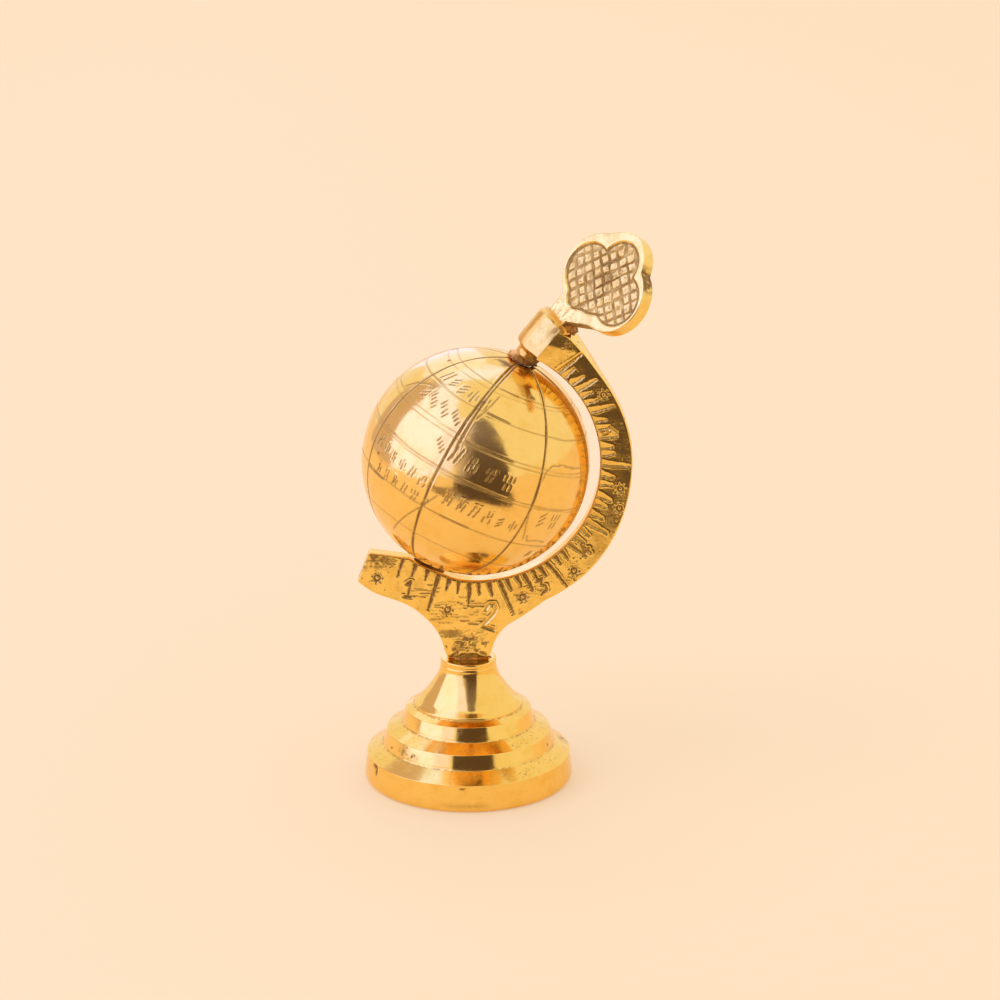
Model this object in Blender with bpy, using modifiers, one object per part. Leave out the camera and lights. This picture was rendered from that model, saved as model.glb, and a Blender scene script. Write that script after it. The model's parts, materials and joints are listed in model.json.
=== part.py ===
"""Brass globe ornament on a stepped foot, built in metres with +Z up.

The origin is the centre of the foot's flat underside. The meridian arm stands in the XZ plane
with its scale facing -Y, and opens towards -X. The globe turns about an axis in that plane,
tilted from the vertical towards +X.
"""
import math

import bmesh
import bpy
import numpy as np
from mathutils import Matrix, Vector

MM = 0.001

# Foot: radius and height of each turning, from the floor up
FOOT_RADIUS = 21.7 * MM
FOOT_STEP_TOP = 5.8 * MM
MIDDLE_RADIUS = 17.95 * MM
MIDDLE_STEP_TOP = 10.9 * MM
UPPER_RADIUS = 13.95 * MM
UPPER_STEP_TOP = 15.4 * MM
CONE_FOOT_RADIUS = 10.4 * MM
NECK_RADIUS = 5.8 * MM
NECK_TOP = 26.4 * MM
NECK_ROUND = 0.35 * MM
CONE_CURVE = 1.35            # exponent of the hollow curve between neck and cone foot
CONE_FOOT_LIFT = 1.0 * MM    # the cone meets the upper step in a small cove this high
EDGE_ROUND = 0.6 * MM        # rounding of the steps' edges
UPPER_FLARE = 0.95 * MM      # how much wider each step is at its foot than at its top
MIDDLE_FLARE = 0.85 * MM
FOOT_FLARE = 0.9 * MM
UPPER_COVE = 1.1 * MM        # height of the hollow where a step stands on the next one
MIDDLE_COVE = 1.7 * MM
COVE_REACH = 0.3 * MM
RING_DROPS = (0.65 * MM, 1.15 * MM)  # two scratched rings under the neck's rim
RING_HALF_WIDTH = 0.16 * MM
RING_DEPTH = 0.2 * MM
FLOOR_ROUND = 1.0 * MM
TURNING_STEPS = 44

# Globe: ball, tilt of its axis and the engraved lines of its grid
BALL_CENTRE = Vector((1.64 * MM, 0.0, 68.9 * MM))
BALL_RADIUS = 23.36 * MM
SPIN_TILT = math.radians(23.4)
MERIDIANS = [math.radians(angle) for angle in (-157, -112, -60, -14, 31, 75, 120, 162)]
PARALLELS = [math.radians(angle) for angle in (56, 39, 22, 5, -17, -41, -62)]
LINE_HALF_WIDTH = 0.42 * MM
LINE_DEPTH = 0.3 * MM
COLUMNS_BETWEEN = 4          # facets of the ball between two meridian lines
ROW_HEIGHT = math.radians(9.0)
PIVOT_HOLE_RADIUS = 2.1 * MM
PIVOT_HOLE_DEPTH = 1.9 * MM

# Arm: flat bar around the ball, its thickness and its stem
ARM_INNER_RADIUS = 25.4 * MM
ARM_OUTER_RADIUS = 32.0 * MM
ARM_THICKNESS = 3.4 * MM
ARM_TOP_THICKNESS = 4.8 * MM
ARM_TOP_ANGLE = math.radians(61.5)
ARM_THICKENS_FROM = math.radians(22.0)
ARM_SPREADS_FROM = math.radians(35.0)
ARM_BEVEL = 2.3 * MM         # how far the face's outer edge is filed back at the barrel
ARM_SPREAD = 3.0 * MM        # how far the outer edge spreads towards the barrel
ARM_SPREAD_SPAN = math.radians(17.0)
ARM_SPREAD_CURVE = 1.5
ARM_WAIST = 0.4 * MM         # narrowing before it spreads
ARM_STEM_SWELL = 0.9 * MM    # widening towards the stem
INNER_ARC_END = math.radians(-124.0)
PIVOT_PAD = 0.75 * MM        # rise of the inner edge towards the lower pivot
OUTER_ARC_END = math.radians(-64.0)
TAIL_CORNERS_MM = ((-20.3, 49.6), (-22.7, 43.3))
LEFT_SHOULDER_MM = (
    (-22.7, 43.3), (-19.2, 40.8), (-12.6, 38.2), (-8.5, 35.0), (-6.0, 31.6), (-4.9, 28.3))
RIGHT_SHOULDER_MM = ((4.9, 28.3), (5.7, 30.7), (7.8, 33.5), (11.3, 35.8))
STEM_HALF_FOOT = 4.2 * MM
PIECE_GAP = 0.3 * MM         # clearance between pieces that touch in the metal

# Top pivot: the barrel at the arm's end, the collar under it and the pin through both
PIN_TILT = math.radians(38.5)
BARREL_TOP = Vector((18.25 * MM, 0.0, 99.1 * MM))
BARREL_LENGTH = 8.2 * MM
BARREL_RADIUS = 4.0 * MM
COLLAR_RADIUS = 2.7 * MM
COLLAR_LENGTH = 2.2 * MM
PIN_RADIUS = 1.4 * MM
PIN_BELOW_COLLAR = 1.7 * MM
STUB_RADIUS = 1.4 * MM
STUB_INTO_BALL = 0.9 * MM

# Scale on the arm's face: long marks as (degrees, length in mm), with shorter marks between
LONG_MARKS = (
    (-126, 4.4), (-107, 7.0), (-78, 6.8), (-55, 6.2), (-30, 5.4), (0.5, 5.8), (26, 5.2), (50, 5.8))
MARKS_BETWEEN = (2, 5, 5, 5, 5, 5, 5)
MARK_WIDTH = 0.75 * MM
MARK_DEPTH = 0.45 * MM
MARK_INSET = 0.4 * MM        # from the arm's inner edge
MIDDLE_MARK = 4.0 * MM
SHORT_MARK = 2.7 * MM

# Clover head: side lobes, top lobe, rim and hatching, in its own plane
CLOVER_TURN = math.radians(54.7)     # how far the head's face is turned about the pin
CLOVER_SHIFT = 4.7 * MM              # the head sits to one side of the pin
CLOVER_HEIGHT = 12.25 * MM           # from the barrel's top to the middle of the head
CLOVER_THICKNESS = 2.95 * MM
SIDE_LOBE = 7.6 * MM
SIDE_LOBE_OFFSET = 4.55 * MM
TOP_LOBE = 6.95 * MM
TOP_LOBE_OFFSET = 4.95 * MM
LOWER_LOBE = (-1.9 * MM, -4.9 * MM, 5.2 * MM)    # fills the head's lower side over the stem
HEAD_FROM = math.radians(-66.0)      # where the stem's two sides leave the head
HEAD_TO = math.radians(222.0)
STEM_HALF_WIDTH = 2.3 * MM
STEM_LEFT_HEIGHT = 2.6 * MM
STEM_RIGHT_HEIGHT = 1.2 * MM
PIN_INTO_STEM = 2.0 * MM
RIM_WIDTH = 1.75 * MM
FIELD_DEPTH = 0.35 * MM
HATCH_PITCH = 1.9 * MM
HATCH_WIDTH = 0.55 * MM
HATCH_DEPTH = 0.35 * MM
HATCH_INSET = 0.3 * MM               # the hatching stops short of the rim
SHORTEST_HATCH = 2.5 * MM
HATCH_ANGLES = (math.radians(-38.0), math.radians(58.0))

OVERLAP = 1.0 * MM                   # how far joined solids and cutters reach past each other
WELD = 0.00002


def clear_scene():
    for obj in list(bpy.data.objects):
        bpy.data.objects.remove(obj, do_unlink=True)


def make_collection(name):
    collection = bpy.data.collections.new(name)
    bpy.context.scene.collection.children.link(collection)
    return collection


def brass(name, colour, roughness):
    material = bpy.data.materials.new(name)
    material.use_nodes = True
    shader = material.node_tree.nodes["Principled BSDF"]
    shader.inputs["Base Color"].default_value = (*colour, 1.0)
    shader.inputs["Metallic"].default_value = 1.0
    shader.inputs["Roughness"].default_value = roughness
    return material


def add_object(name, mesh, collection, material=None):
    obj = bpy.data.objects.new(name, mesh)
    collection.objects.link(obj)
    if material is not None:
        mesh.materials.append(material)
    return obj


def shade(mesh, sharp_degrees=32.0):
    mesh.shade_smooth()
    mesh.set_sharp_from_angle(angle=math.radians(sharp_degrees))


def bmesh_to_mesh(bm, name):
    mesh = bpy.data.meshes.new(name)
    bmesh.ops.recalc_face_normals(bm, faces=bm.faces)
    bm.to_mesh(mesh)
    bm.free()
    return mesh


def direction(tilt):
    """Unit vector in the arm's plane, tilted from the vertical towards +X."""
    return Vector((math.sin(tilt), 0.0, math.cos(tilt)))


def scaled(points_mm):
    return [(x * MM, z * MM) for x, z in points_mm]


def polar(angle, radius):
    """Point (x, z) at an angle and distance from the ball's centre, in the arm's plane."""
    return (BALL_CENTRE.x + radius * math.cos(angle), BALL_CENTRE.z + radius * math.sin(angle))


def arc(radius_at, start, end, count):
    """Points along an arc about the ball's centre, where radius_at gives the radius."""
    return [polar(angle, radius_at(angle)) for angle in np.linspace(start, end, count)]


def smooth_through(points, per_span):
    """Catmull-Rom curve through the points, without its last point."""
    ends = [points[0]] + list(points) + [points[-1]]
    curve = []
    for before, a, b, after in zip(ends, ends[1:], ends[2:], ends[3:]):
        before, a, b, after = (np.array(point) for point in (before, a, b, after))
        for t in np.linspace(0.0, 1.0, per_span, endpoint=False):
            pull = (b - before) * t + (2 * before - 5 * a + 4 * b - after) * t ** 2
            curve.append(tuple(a + 0.5 * (pull + (3 * a - before - 3 * b + after) * t ** 3)))
    return curve


def plate_from_outline(name, outline, thickness):
    """Flat plate in the XZ plane from a closed outline of (x, z) points, as a welded mesh."""
    data = bpy.data.curves.new(name, "CURVE")
    data.dimensions = "2D"
    data.fill_mode = "BOTH"
    data.extrude = thickness / 2
    spline = data.splines.new("POLY")
    spline.points.add(len(outline) - 1)
    for point, (x, z) in zip(spline.points, outline):
        point.co = (x, z, 0.0, 1.0)
    spline.use_cyclic_u = True
    flat = bpy.data.objects.new(name, data)
    bpy.context.scene.collection.objects.link(flat)
    flat.matrix_world = Matrix.Rotation(math.radians(90.0), 4, "X")
    bpy.context.view_layer.update()
    mesh = bpy.data.meshes.new_from_object(flat.evaluated_get(bpy.context.evaluated_depsgraph_get()))
    mesh.transform(flat.matrix_world)
    bpy.data.objects.remove(flat, do_unlink=True)
    bm = bmesh.new()
    bm.from_mesh(mesh)
    bpy.data.meshes.remove(mesh)
    bmesh.ops.remove_doubles(bm, verts=bm.verts, dist=WELD)
    return bm


def rod(radius, bottom, top, sides=32):
    """Closed cylinder between two points."""
    axis = top - bottom
    turn = axis.to_track_quat("Z", "Y").to_matrix().to_4x4()
    bm = bmesh.new()
    bmesh.ops.create_cone(
        bm, cap_ends=True, segments=sides, radius1=radius, radius2=radius, depth=axis.length,
        matrix=Matrix.Translation((top + bottom) / 2) @ turn)
    return bm


def join_boolean(obj, cutter, operation):
    modifier = obj.modifiers.new(cutter.name, "BOOLEAN")
    modifier.operation = operation
    modifier.solver = "EXACT"
    modifier.object = cutter


def add_cutter(name, mesh, collection):
    cutter = add_object(name, mesh, collection)
    cutter.display_type = "WIRE"
    cutter.hide_render = True
    return cutter


def turned_edge(radius, height, count=3):
    """Quarter-round edge of a step, from its flat top over to its side."""
    return [
        (radius - EDGE_ROUND * (1 - math.sin(turn)), height - EDGE_ROUND * (1 - math.cos(turn)))
        for turn in np.linspace(0.0, math.pi / 2, count)
    ]


def cone_radius(height):
    """Hollow curve of the cone: the radius grows by a power of the drop below the neck."""
    drop = (NECK_TOP - height) / (NECK_TOP - UPPER_STEP_TOP - CONE_FOOT_LIFT)
    return NECK_RADIUS + (CONE_FOOT_RADIUS - NECK_RADIUS) * drop ** CONE_CURVE


def foot_profile():
    """Half section of the foot at +X, from the neck's top down its outer side."""
    profile = [
        (0.0, NECK_TOP),
        (NECK_RADIUS - NECK_ROUND, NECK_TOP),
        (NECK_RADIUS, NECK_TOP - NECK_ROUND),
    ]
    for drop in RING_DROPS:
        for offset, sink in ((-RING_HALF_WIDTH, 0.0), (0.0, RING_DEPTH), (RING_HALF_WIDTH, 0.0)):
            height = NECK_TOP - drop - offset
            profile.append((cone_radius(height) - sink, height))
    cone_foot = UPPER_STEP_TOP + CONE_FOOT_LIFT
    for height in np.linspace(NECK_TOP - 2 * RING_DROPS[1], cone_foot, 7):
        profile.append((cone_radius(height), height))
    profile.append((CONE_FOOT_RADIUS + COVE_REACH, UPPER_STEP_TOP + CONE_FOOT_LIFT / 2))
    steps = (
        (UPPER_RADIUS, UPPER_STEP_TOP, MIDDLE_STEP_TOP + UPPER_COVE, UPPER_FLARE),
        (MIDDLE_RADIUS, MIDDLE_STEP_TOP, FOOT_STEP_TOP + MIDDLE_COVE, MIDDLE_FLARE),
    )
    for radius, top, foot, flare in steps:
        profile += turned_edge(radius - flare, top)
        profile.append((radius - flare / 3, (top + foot) / 2))
        profile.append((radius, foot + COVE_REACH / 2))
        profile.append((radius + COVE_REACH, foot - COVE_REACH / 2))
    profile += turned_edge(FOOT_RADIUS - FOOT_FLARE, FOOT_STEP_TOP)
    profile += [
        (FOOT_RADIUS - FOOT_FLARE / 3, FOOT_STEP_TOP / 2),
        (FOOT_RADIUS, FLOOR_ROUND * 1.3),
        (FOOT_RADIUS - FLOOR_ROUND * 0.3, FLOOR_ROUND * 0.4),
        (FOOT_RADIUS - FLOOR_ROUND, 0.0),
        (0.0, 0.0),
    ]
    return profile


def build_base(collection):
    """Foot turned from its half section."""
    profile = foot_profile()
    mesh = bpy.data.meshes.new("base")
    edges = [(index, index + 1) for index in range(len(profile) - 1)]
    mesh.from_pydata([(radius, 0.0, height) for radius, height in profile], edges, [])
    base = add_object("base", mesh, collection, brass("foot_brass", (0.86, 0.56, 0.18), 0.18))
    screw = base.modifiers.new("turn", "SCREW")
    screw.axis = "Z"
    screw.steps = TURNING_STEPS
    screw.render_steps = TURNING_STEPS
    screw.use_merge_vertices = True
    screw.merge_threshold = 0.00005
    screw.use_smooth_shade = True
    return base


def line_rows():
    """Rows of the ball from pole to pole, as (latitude, sink): three rows along each parallel."""
    half = LINE_HALF_WIDTH / BALL_RADIUS
    mouth = math.acos(PIVOT_HOLE_RADIUS / BALL_RADIUS)
    rows = []
    edge = mouth
    for parallel in (*PARALLELS, -mouth):
        stop = parallel + half if parallel != -mouth else -mouth
        spans = max(1, round((edge - stop) / ROW_HEIGHT))
        rows += [(float(latitude), 0.0) for latitude in np.linspace(edge, stop, spans + 1)]
        if parallel != -mouth:
            rows.append((parallel, LINE_DEPTH))
            edge = parallel - half
    return rows


def ball_columns():
    """Longitudes of the ball and which of them run along the bottom of a meridian line."""
    half = LINE_HALF_WIDTH / BALL_RADIUS
    columns = []
    for line, following in zip(MERIDIANS, MERIDIANS[1:] + [MERIDIANS[0] + 2 * math.pi]):
        columns += [(line - half, False), (line, True), (line + half, False)]
        between = np.linspace(line + half, following - half, COLUMNS_BETWEEN + 1)[1:-1]
        columns += [(float(longitude), False) for longitude in between]
    return columns


def build_globe(collection):
    """UV sphere whose rings and columns are gathered along the engraved lines and sunk there."""
    rows = line_rows()
    columns = ball_columns()
    floor = BALL_RADIUS - PIVOT_HOLE_DEPTH
    rings = len(rows) + 2
    bm = bmesh.new()
    bmesh.ops.create_uvsphere(bm, u_segments=len(columns), v_segments=rings + 1, radius=1.0)
    for vert in bm.verts:
        ring = round(math.acos(max(-1.0, min(1.0, vert.co.z))) / math.pi * (rings + 1))
        column = round(math.atan2(vert.co.y, vert.co.x) / (2 * math.pi) * len(columns))
        longitude, on_line = columns[column % len(columns)]
        if ring in (0, rings + 1):
            vert.co = (0.0, 0.0, math.copysign(floor, vert.co.z))
            continue
        if ring in (1, rings):
            radius, height = PIVOT_HOLE_RADIUS, math.copysign(floor, vert.co.z)
        else:
            latitude, sink = rows[ring - 2]
            at_mouth = ring in (2, rings - 1)
            distance = BALL_RADIUS - (LINE_DEPTH if on_line and not at_mouth else sink)
            radius, height = distance * math.cos(latitude), distance * math.sin(latitude)
        vert.co = (radius * math.cos(longitude), radius * math.sin(longitude), height)
    mesh = bmesh_to_mesh(bm, "globe")
    shade(mesh, 40.0)
    globe = add_object("globe", mesh, collection, brass("ball_brass", (0.90, 0.60, 0.20), 0.12))
    globe.matrix_world = Matrix.Translation(BALL_CENTRE) @ Matrix.Rotation(SPIN_TILT, 4, "Y")
    return globe


def ramp(value, start, end):
    """0 at start, 1 at end, and the same beyond them."""
    return min(1.0, max(0.0, (value - start) / (end - start)))


def inner_radius(angle):
    """Inner edge of the arm, which rises to a low pad at the lower pivot."""
    return ARM_INNER_RADIUS - PIVOT_PAD * ramp(angle, math.radians(-96.0), math.radians(-112.0))


def outer_radius(angle):
    """Outer edge: a little wider towards the stem, and spread up to the barrel's flat top."""
    swell = ARM_STEM_SWELL * ramp(angle, math.radians(-8.0), math.radians(-48.0))
    reach = ARM_OUTER_RADIUS + swell - ARM_WAIST * ramp(angle, 0.0, ARM_SPREADS_FROM)
    if angle > ARM_SPREADS_FROM:
        share = (angle - ARM_SPREADS_FROM) / ARM_SPREAD_SPAN
        top_plane = direction(PIN_TILT).dot(BARREL_TOP - BALL_CENTRE) - 2 * WELD
        flat_top = top_plane / math.cos(angle - math.pi / 2 + PIN_TILT)
        reach = min(reach + ARM_SPREAD * share ** ARM_SPREAD_CURVE, flat_top)
    return reach


def arm_outline():
    """Closed outline of the arm: inner edge, tail, stem and back up the outer edge."""
    foot = NECK_TOP + PIECE_GAP
    inner = arc(inner_radius, ARM_TOP_ANGLE, INNER_ARC_END, 44)
    left = smooth_through(scaled(LEFT_SHOULDER_MM), 5)[1:]
    stem = scaled(LEFT_SHOULDER_MM[-1:]) + [(-STEM_HALF_FOOT, foot), (STEM_HALF_FOOT, foot)]
    outer_end = polar(OUTER_ARC_END, outer_radius(OUTER_ARC_END))
    right = smooth_through(scaled(RIGHT_SHOULDER_MM) + [outer_end], 5)
    outer = arc(outer_radius, OUTER_ARC_END, ARM_TOP_ANGLE, 34)
    return inner + scaled(TAIL_CORNERS_MM) + left + stem + right + outer


def half_thickness(angle):
    """Half the bar's thickness, which grows towards the barrel."""
    share = ramp(angle, ARM_THICKENS_FROM, ARM_TOP_ANGLE)
    return (ARM_THICKNESS + (ARM_TOP_THICKNESS - ARM_THICKNESS) * share) / 2


def shape_upper_arm(bm):
    """Cut the bar at radial planes, thicken it towards the barrel and file back its outer edge."""
    for angle in np.linspace(ARM_THICKENS_FROM, ARM_TOP_ANGLE, 6)[:-1]:
        near_top = [face for face in bm.faces if face.calc_center_median().x > BALL_CENTRE.x]
        parts = {item for face in near_top for item in (*face.verts, *face.edges, face)}
        bmesh.ops.bisect_plane(
            bm, geom=list(parts), dist=WELD / 20, plane_co=BALL_CENTRE,
            plane_no=(-math.sin(angle), 0.0, math.cos(angle)))
    for vert in bm.verts:
        arm = vert.co - BALL_CENTRE
        angle = math.atan2(arm.z, arm.x)
        if angle < ARM_THICKENS_FROM or angle > math.pi / 2:
            continue
        radius = math.hypot(arm.x, arm.z)
        if vert.co.y < 0.0 and radius > outer_radius(angle) - 5 * WELD:
            filed = 1.0 - ARM_BEVEL * ramp(angle, ARM_SPREADS_FROM, ARM_TOP_ANGLE) / radius
            vert.co.x = BALL_CENTRE.x + arm.x * filed
            vert.co.z = BALL_CENTRE.z + arm.z * filed
        vert.co.y *= 2 * half_thickness(angle) / ARM_THICKNESS


def mark_places():
    """Angle and length of every mark: long ones, with shorter ones spaced evenly between."""
    places = [(math.radians(degrees), length * MM) for degrees, length in LONG_MARKS]
    angles = [angle for angle, length in places]
    for start, end, between in zip(angles, angles[1:], MARKS_BETWEEN):
        for index in range(1, between + 1):
            length = MIDDLE_MARK if 2 * index == between + 1 else SHORT_MARK
            places.append((start + (end - start) * index / (between + 1), length))
    return places


def add_wedge(bm, radius, length):
    """Three-sided rod along Z for cutting a groove, with one edge pointing to +Y."""
    return bmesh.ops.create_cone(
        bm, cap_ends=True, segments=3, radius1=radius, radius2=radius, depth=length)["verts"]


def scale_marks():
    """One wedge for each mark of the scale, with its point in the arm's face."""
    bm = bmesh.new()
    for angle, length in mark_places():
        wedge = add_wedge(bm, MARK_WIDTH, length)
        along = Vector((math.cos(angle), 0.0, math.sin(angle)))
        across = Vector((-math.sin(angle), 0.0, math.cos(angle)))
        middle = inner_radius(angle) + MARK_INSET + length / 2
        turn = Matrix((across, Vector((0.0, 1.0, 0.0)), along)).transposed().to_4x4()
        sink = Vector((0.0, MARK_DEPTH - MARK_WIDTH - half_thickness(angle), 0.0))
        place_at = Matrix.Translation(BALL_CENTRE + along * middle + sink)
        bmesh.ops.transform(bm, matrix=place_at @ turn, verts=wedge)
    return bm


def build_arm(collection, cutters):
    """Flat arm with its barrel, collar and lower pivot, bored for the pin and cut with the scale."""
    bm = plate_from_outline("arm", arm_outline(), ARM_THICKNESS)
    shape_upper_arm(bm)
    mesh = bmesh_to_mesh(bm, "arm")
    arm = add_object("arm", mesh, collection, brass("arm_brass", (0.84, 0.55, 0.17), 0.28))
    pin_axis = direction(PIN_TILT)
    spin_axis = direction(SPIN_TILT)
    barrel_foot = BARREL_TOP - pin_axis * BARREL_LENGTH
    collar_foot = barrel_foot - pin_axis * COLLAR_LENGTH
    south = BALL_CENTRE - spin_axis * (BALL_RADIUS - STUB_INTO_BALL)
    seat = BALL_CENTRE - spin_axis * (ARM_INNER_RADIUS + OVERLAP)
    added = (
        ("barrel", rod(BARREL_RADIUS, barrel_foot, BARREL_TOP, 40)),
        ("collar", rod(COLLAR_RADIUS, collar_foot, barrel_foot + pin_axis * OVERLAP)),
        ("lower_stub", rod(STUB_RADIUS, seat, south, 24)),
    )
    for name, solid in added:
        join_boolean(arm, add_cutter(name, bmesh_to_mesh(solid, name), cutters), "UNION")
    past = pin_axis * OVERLAP
    bore = rod(PIN_RADIUS + PIECE_GAP, collar_foot - past, BARREL_TOP + past, 24)
    for name, solid in (("pin_bore", bore), ("scale_marks", scale_marks())):
        join_boolean(arm, add_cutter(name, bmesh_to_mesh(solid, name), cutters), "DIFFERENCE")
    return arm


def lobe_reach(angle, lobes):
    """Distance from the head's middle to the outline of its overlapping round lobes."""
    reach = 0.0
    for x, z, radius in lobes:
        along = x * math.cos(angle) + z * math.sin(angle)
        across = -x * math.sin(angle) + z * math.cos(angle)
        if abs(across) < radius:
            reach = max(reach, along + math.sqrt(radius ** 2 - across ** 2))
    return reach


def clover_lobes(inset):
    """Round lobes of the head as (x, z, radius), each drawn in by the inset."""
    return [
        (-SIDE_LOBE_OFFSET, 0.0, SIDE_LOBE - inset),
        (0.0, TOP_LOBE_OFFSET, TOP_LOBE - inset),
        (SIDE_LOBE_OFFSET, 0.0, SIDE_LOBE - inset),
        (LOWER_LOBE[0], LOWER_LOBE[1], LOWER_LOBE[2] - inset),
    ]


def clover_outline():
    """Outline of the head and its stem, in the head's plane, the stem at the pin's axis."""
    lobes = clover_lobes(0.0)
    head = [
        (CLOVER_SHIFT + lobe_reach(angle, lobes) * math.cos(angle),
         CLOVER_HEIGHT + lobe_reach(angle, lobes) * math.sin(angle))
        for angle in np.linspace(HEAD_FROM, HEAD_TO, 61)
    ]
    half = STEM_HALF_WIDTH
    stem = [(-half, STEM_LEFT_HEIGHT), (-half, PIECE_GAP), (half, PIECE_GAP), (half, STEM_RIGHT_HEIGHT)]
    return head + stem


def field_outline():
    """Outline of the sunken field inside the rim."""
    lobes = clover_lobes(RIM_WIDTH)
    return [
        (CLOVER_SHIFT + lobe_reach(angle, lobes) * math.cos(angle),
         CLOVER_HEIGHT + lobe_reach(angle, lobes) * math.sin(angle))
        for angle in np.linspace(0.0, 2 * math.pi, 64, endpoint=False)
    ]


def hatch_wedges(direction):
    """Parallel wedges across the field, each cut to the field's width along its own line."""
    lobes = clover_lobes(RIM_WIDTH)
    along = np.array((math.cos(direction), math.sin(direction)))
    across = np.array((-along[1], along[0]))
    angles = np.linspace(0.0, 2 * math.pi, 720)
    reach = np.array([lobe_reach(angle, lobes) for angle in angles])
    rim = np.stack((reach * np.cos(angles), reach * np.sin(angles)), axis=1)
    bm = bmesh.new()
    count = int(reach.max() / HATCH_PITCH)
    for index in range(-count, count + 1):
        near = rim[np.abs(rim @ across - index * HATCH_PITCH) < HATCH_INSET] @ along
        if len(near) < 2 or near.max() - near.min() < SHORTEST_HATCH:
            continue
        length = near.max() - near.min() - 2 * HATCH_INSET
        wedge = add_wedge(bm, HATCH_WIDTH, length)
        middle = along * (near.max() + near.min()) / 2 + across * index * HATCH_PITCH
        turn = Matrix((
            (across[0], 0.0, along[0]), (0.0, 1.0, 0.0), (across[1], 0.0, along[1]))).to_4x4()
        face = -CLOVER_THICKNESS / 2 + FIELD_DEPTH
        sink = face - HATCH_WIDTH + HATCH_DEPTH
        at = Matrix.Translation((CLOVER_SHIFT + middle[0], sink, CLOVER_HEIGHT + middle[1]))
        bmesh.ops.transform(bm, matrix=at @ turn, verts=wedge)
    return bm


def build_finial(collection, cutters):
    """Clover head on its pin. The frame is the barrel's top, turned and tilted with the pin."""
    mesh = bmesh_to_mesh(plate_from_outline("finial", clover_outline(), CLOVER_THICKNESS), "finial")
    finial = add_object("finial", mesh, collection, brass("clover_brass", (0.88, 0.62, 0.27), 0.3))
    frame = (
        Matrix.Translation(BARREL_TOP) @ Matrix.Rotation(PIN_TILT, 4, "Y")
        @ Matrix.Rotation(-CLOVER_TURN, 4, "Z"))
    pin_length = BARREL_LENGTH + COLLAR_LENGTH + PIN_BELOW_COLLAR
    pin = rod(PIN_RADIUS, Vector((0.0, 0.0, -pin_length)), Vector((0.0, 0.0, PIN_INTO_STEM)), 24)
    field = plate_from_outline("field", field_outline(), 2 * FIELD_DEPTH)
    bmesh.ops.translate(field, verts=field.verts, vec=(0.0, -CLOVER_THICKNESS / 2, 0.0))
    steps = [("pivot_pin", pin, "UNION"), ("field", field, "DIFFERENCE")]
    for index, direction in enumerate(HATCH_ANGLES):
        steps.append((f"hatch_{index}", hatch_wedges(direction), "DIFFERENCE"))
    for name, solid, operation in steps:
        cutter = add_cutter(name, bmesh_to_mesh(solid, name), cutters)
        cutter.matrix_world = frame
        join_boolean(finial, cutter, operation)
    finial.matrix_world = frame
    return finial


def main():
    clear_scene()
    ornament = make_collection("brass_globe")
    cutters = make_collection("cutters")
    build_base(ornament)
    build_arm(ornament, cutters)
    build_globe(ornament)
    build_finial(ornament, cutters)


main()
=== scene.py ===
# Brass globe ornament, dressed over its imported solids: an engraved ball that spins in a marked
# meridian arm, a hatched clover finial in the arm's barrel, and a turned foot
import json

import bpy
import numpy as np
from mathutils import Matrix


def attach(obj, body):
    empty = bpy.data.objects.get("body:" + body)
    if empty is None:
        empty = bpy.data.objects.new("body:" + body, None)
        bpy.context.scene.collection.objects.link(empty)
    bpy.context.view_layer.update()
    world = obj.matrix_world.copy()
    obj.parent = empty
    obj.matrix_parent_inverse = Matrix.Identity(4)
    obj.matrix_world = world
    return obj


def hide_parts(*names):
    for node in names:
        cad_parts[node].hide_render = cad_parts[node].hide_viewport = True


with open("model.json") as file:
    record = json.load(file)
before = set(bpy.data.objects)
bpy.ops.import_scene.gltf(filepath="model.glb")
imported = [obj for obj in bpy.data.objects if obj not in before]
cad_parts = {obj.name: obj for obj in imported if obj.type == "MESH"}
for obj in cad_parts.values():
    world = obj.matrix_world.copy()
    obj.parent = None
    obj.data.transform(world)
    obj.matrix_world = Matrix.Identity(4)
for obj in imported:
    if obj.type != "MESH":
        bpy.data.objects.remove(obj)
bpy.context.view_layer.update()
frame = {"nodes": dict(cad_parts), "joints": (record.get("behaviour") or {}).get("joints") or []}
millimetre = 0.001
ballCentre = np.array(frame["joints"][0]["pos_m"]) / millimetre
spinAxis = np.array(frame["joints"][0]["axis"], float)
spinAxis /= np.linalg.norm(spinAxis)
ballRight = np.array((spinAxis[2], 0.0, -spinAxis[0]))  # square to the spin axis, in the arm's plane
backwards = np.array((0.0, 1.0, 0.0))
print("frame loaded:", ", ".join(sorted(frame["nodes"])))


def smoothStep(x, start, end):
    # 0 before start and 1 after end, joined by 3t^2 - 2t^3
    t = np.clip((x - start) / (end - start), 0.0, 1.0)
    return t * t * (3.0 - 2.0 * t)


def softMax(a, b, blend):
    # the larger of the two, rounded off over about the blend distance: (a + b + root((a-b)^2 + blend^2)) / 2
    return 0.5 * (a + b + np.sqrt((a - b) ** 2 + blend ** 2))


def softNoise(points, size, seed):
    # value noise, -1 to 1: random numbers on a cubic lattice of this size, blended by 3t^2 - 2t^3
    table = np.random.default_rng(seed).uniform(-1.0, 1.0, (32, 32, 32))
    cell = points / size
    corner = np.floor(cell).astype(int)
    t = cell - corner
    t = t * t * (3.0 - 2.0 * t)
    total = np.zeros(points.shape[:-1])
    for step in np.ndindex(2, 2, 2):
        weight = np.prod(np.where(np.array(step) == 1, t, 1.0 - t), axis=-1)
        x, y, z = np.moveaxis((corner + step) % 32, -1, 0)
        total += weight * table[x, y, z]
    return total


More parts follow.
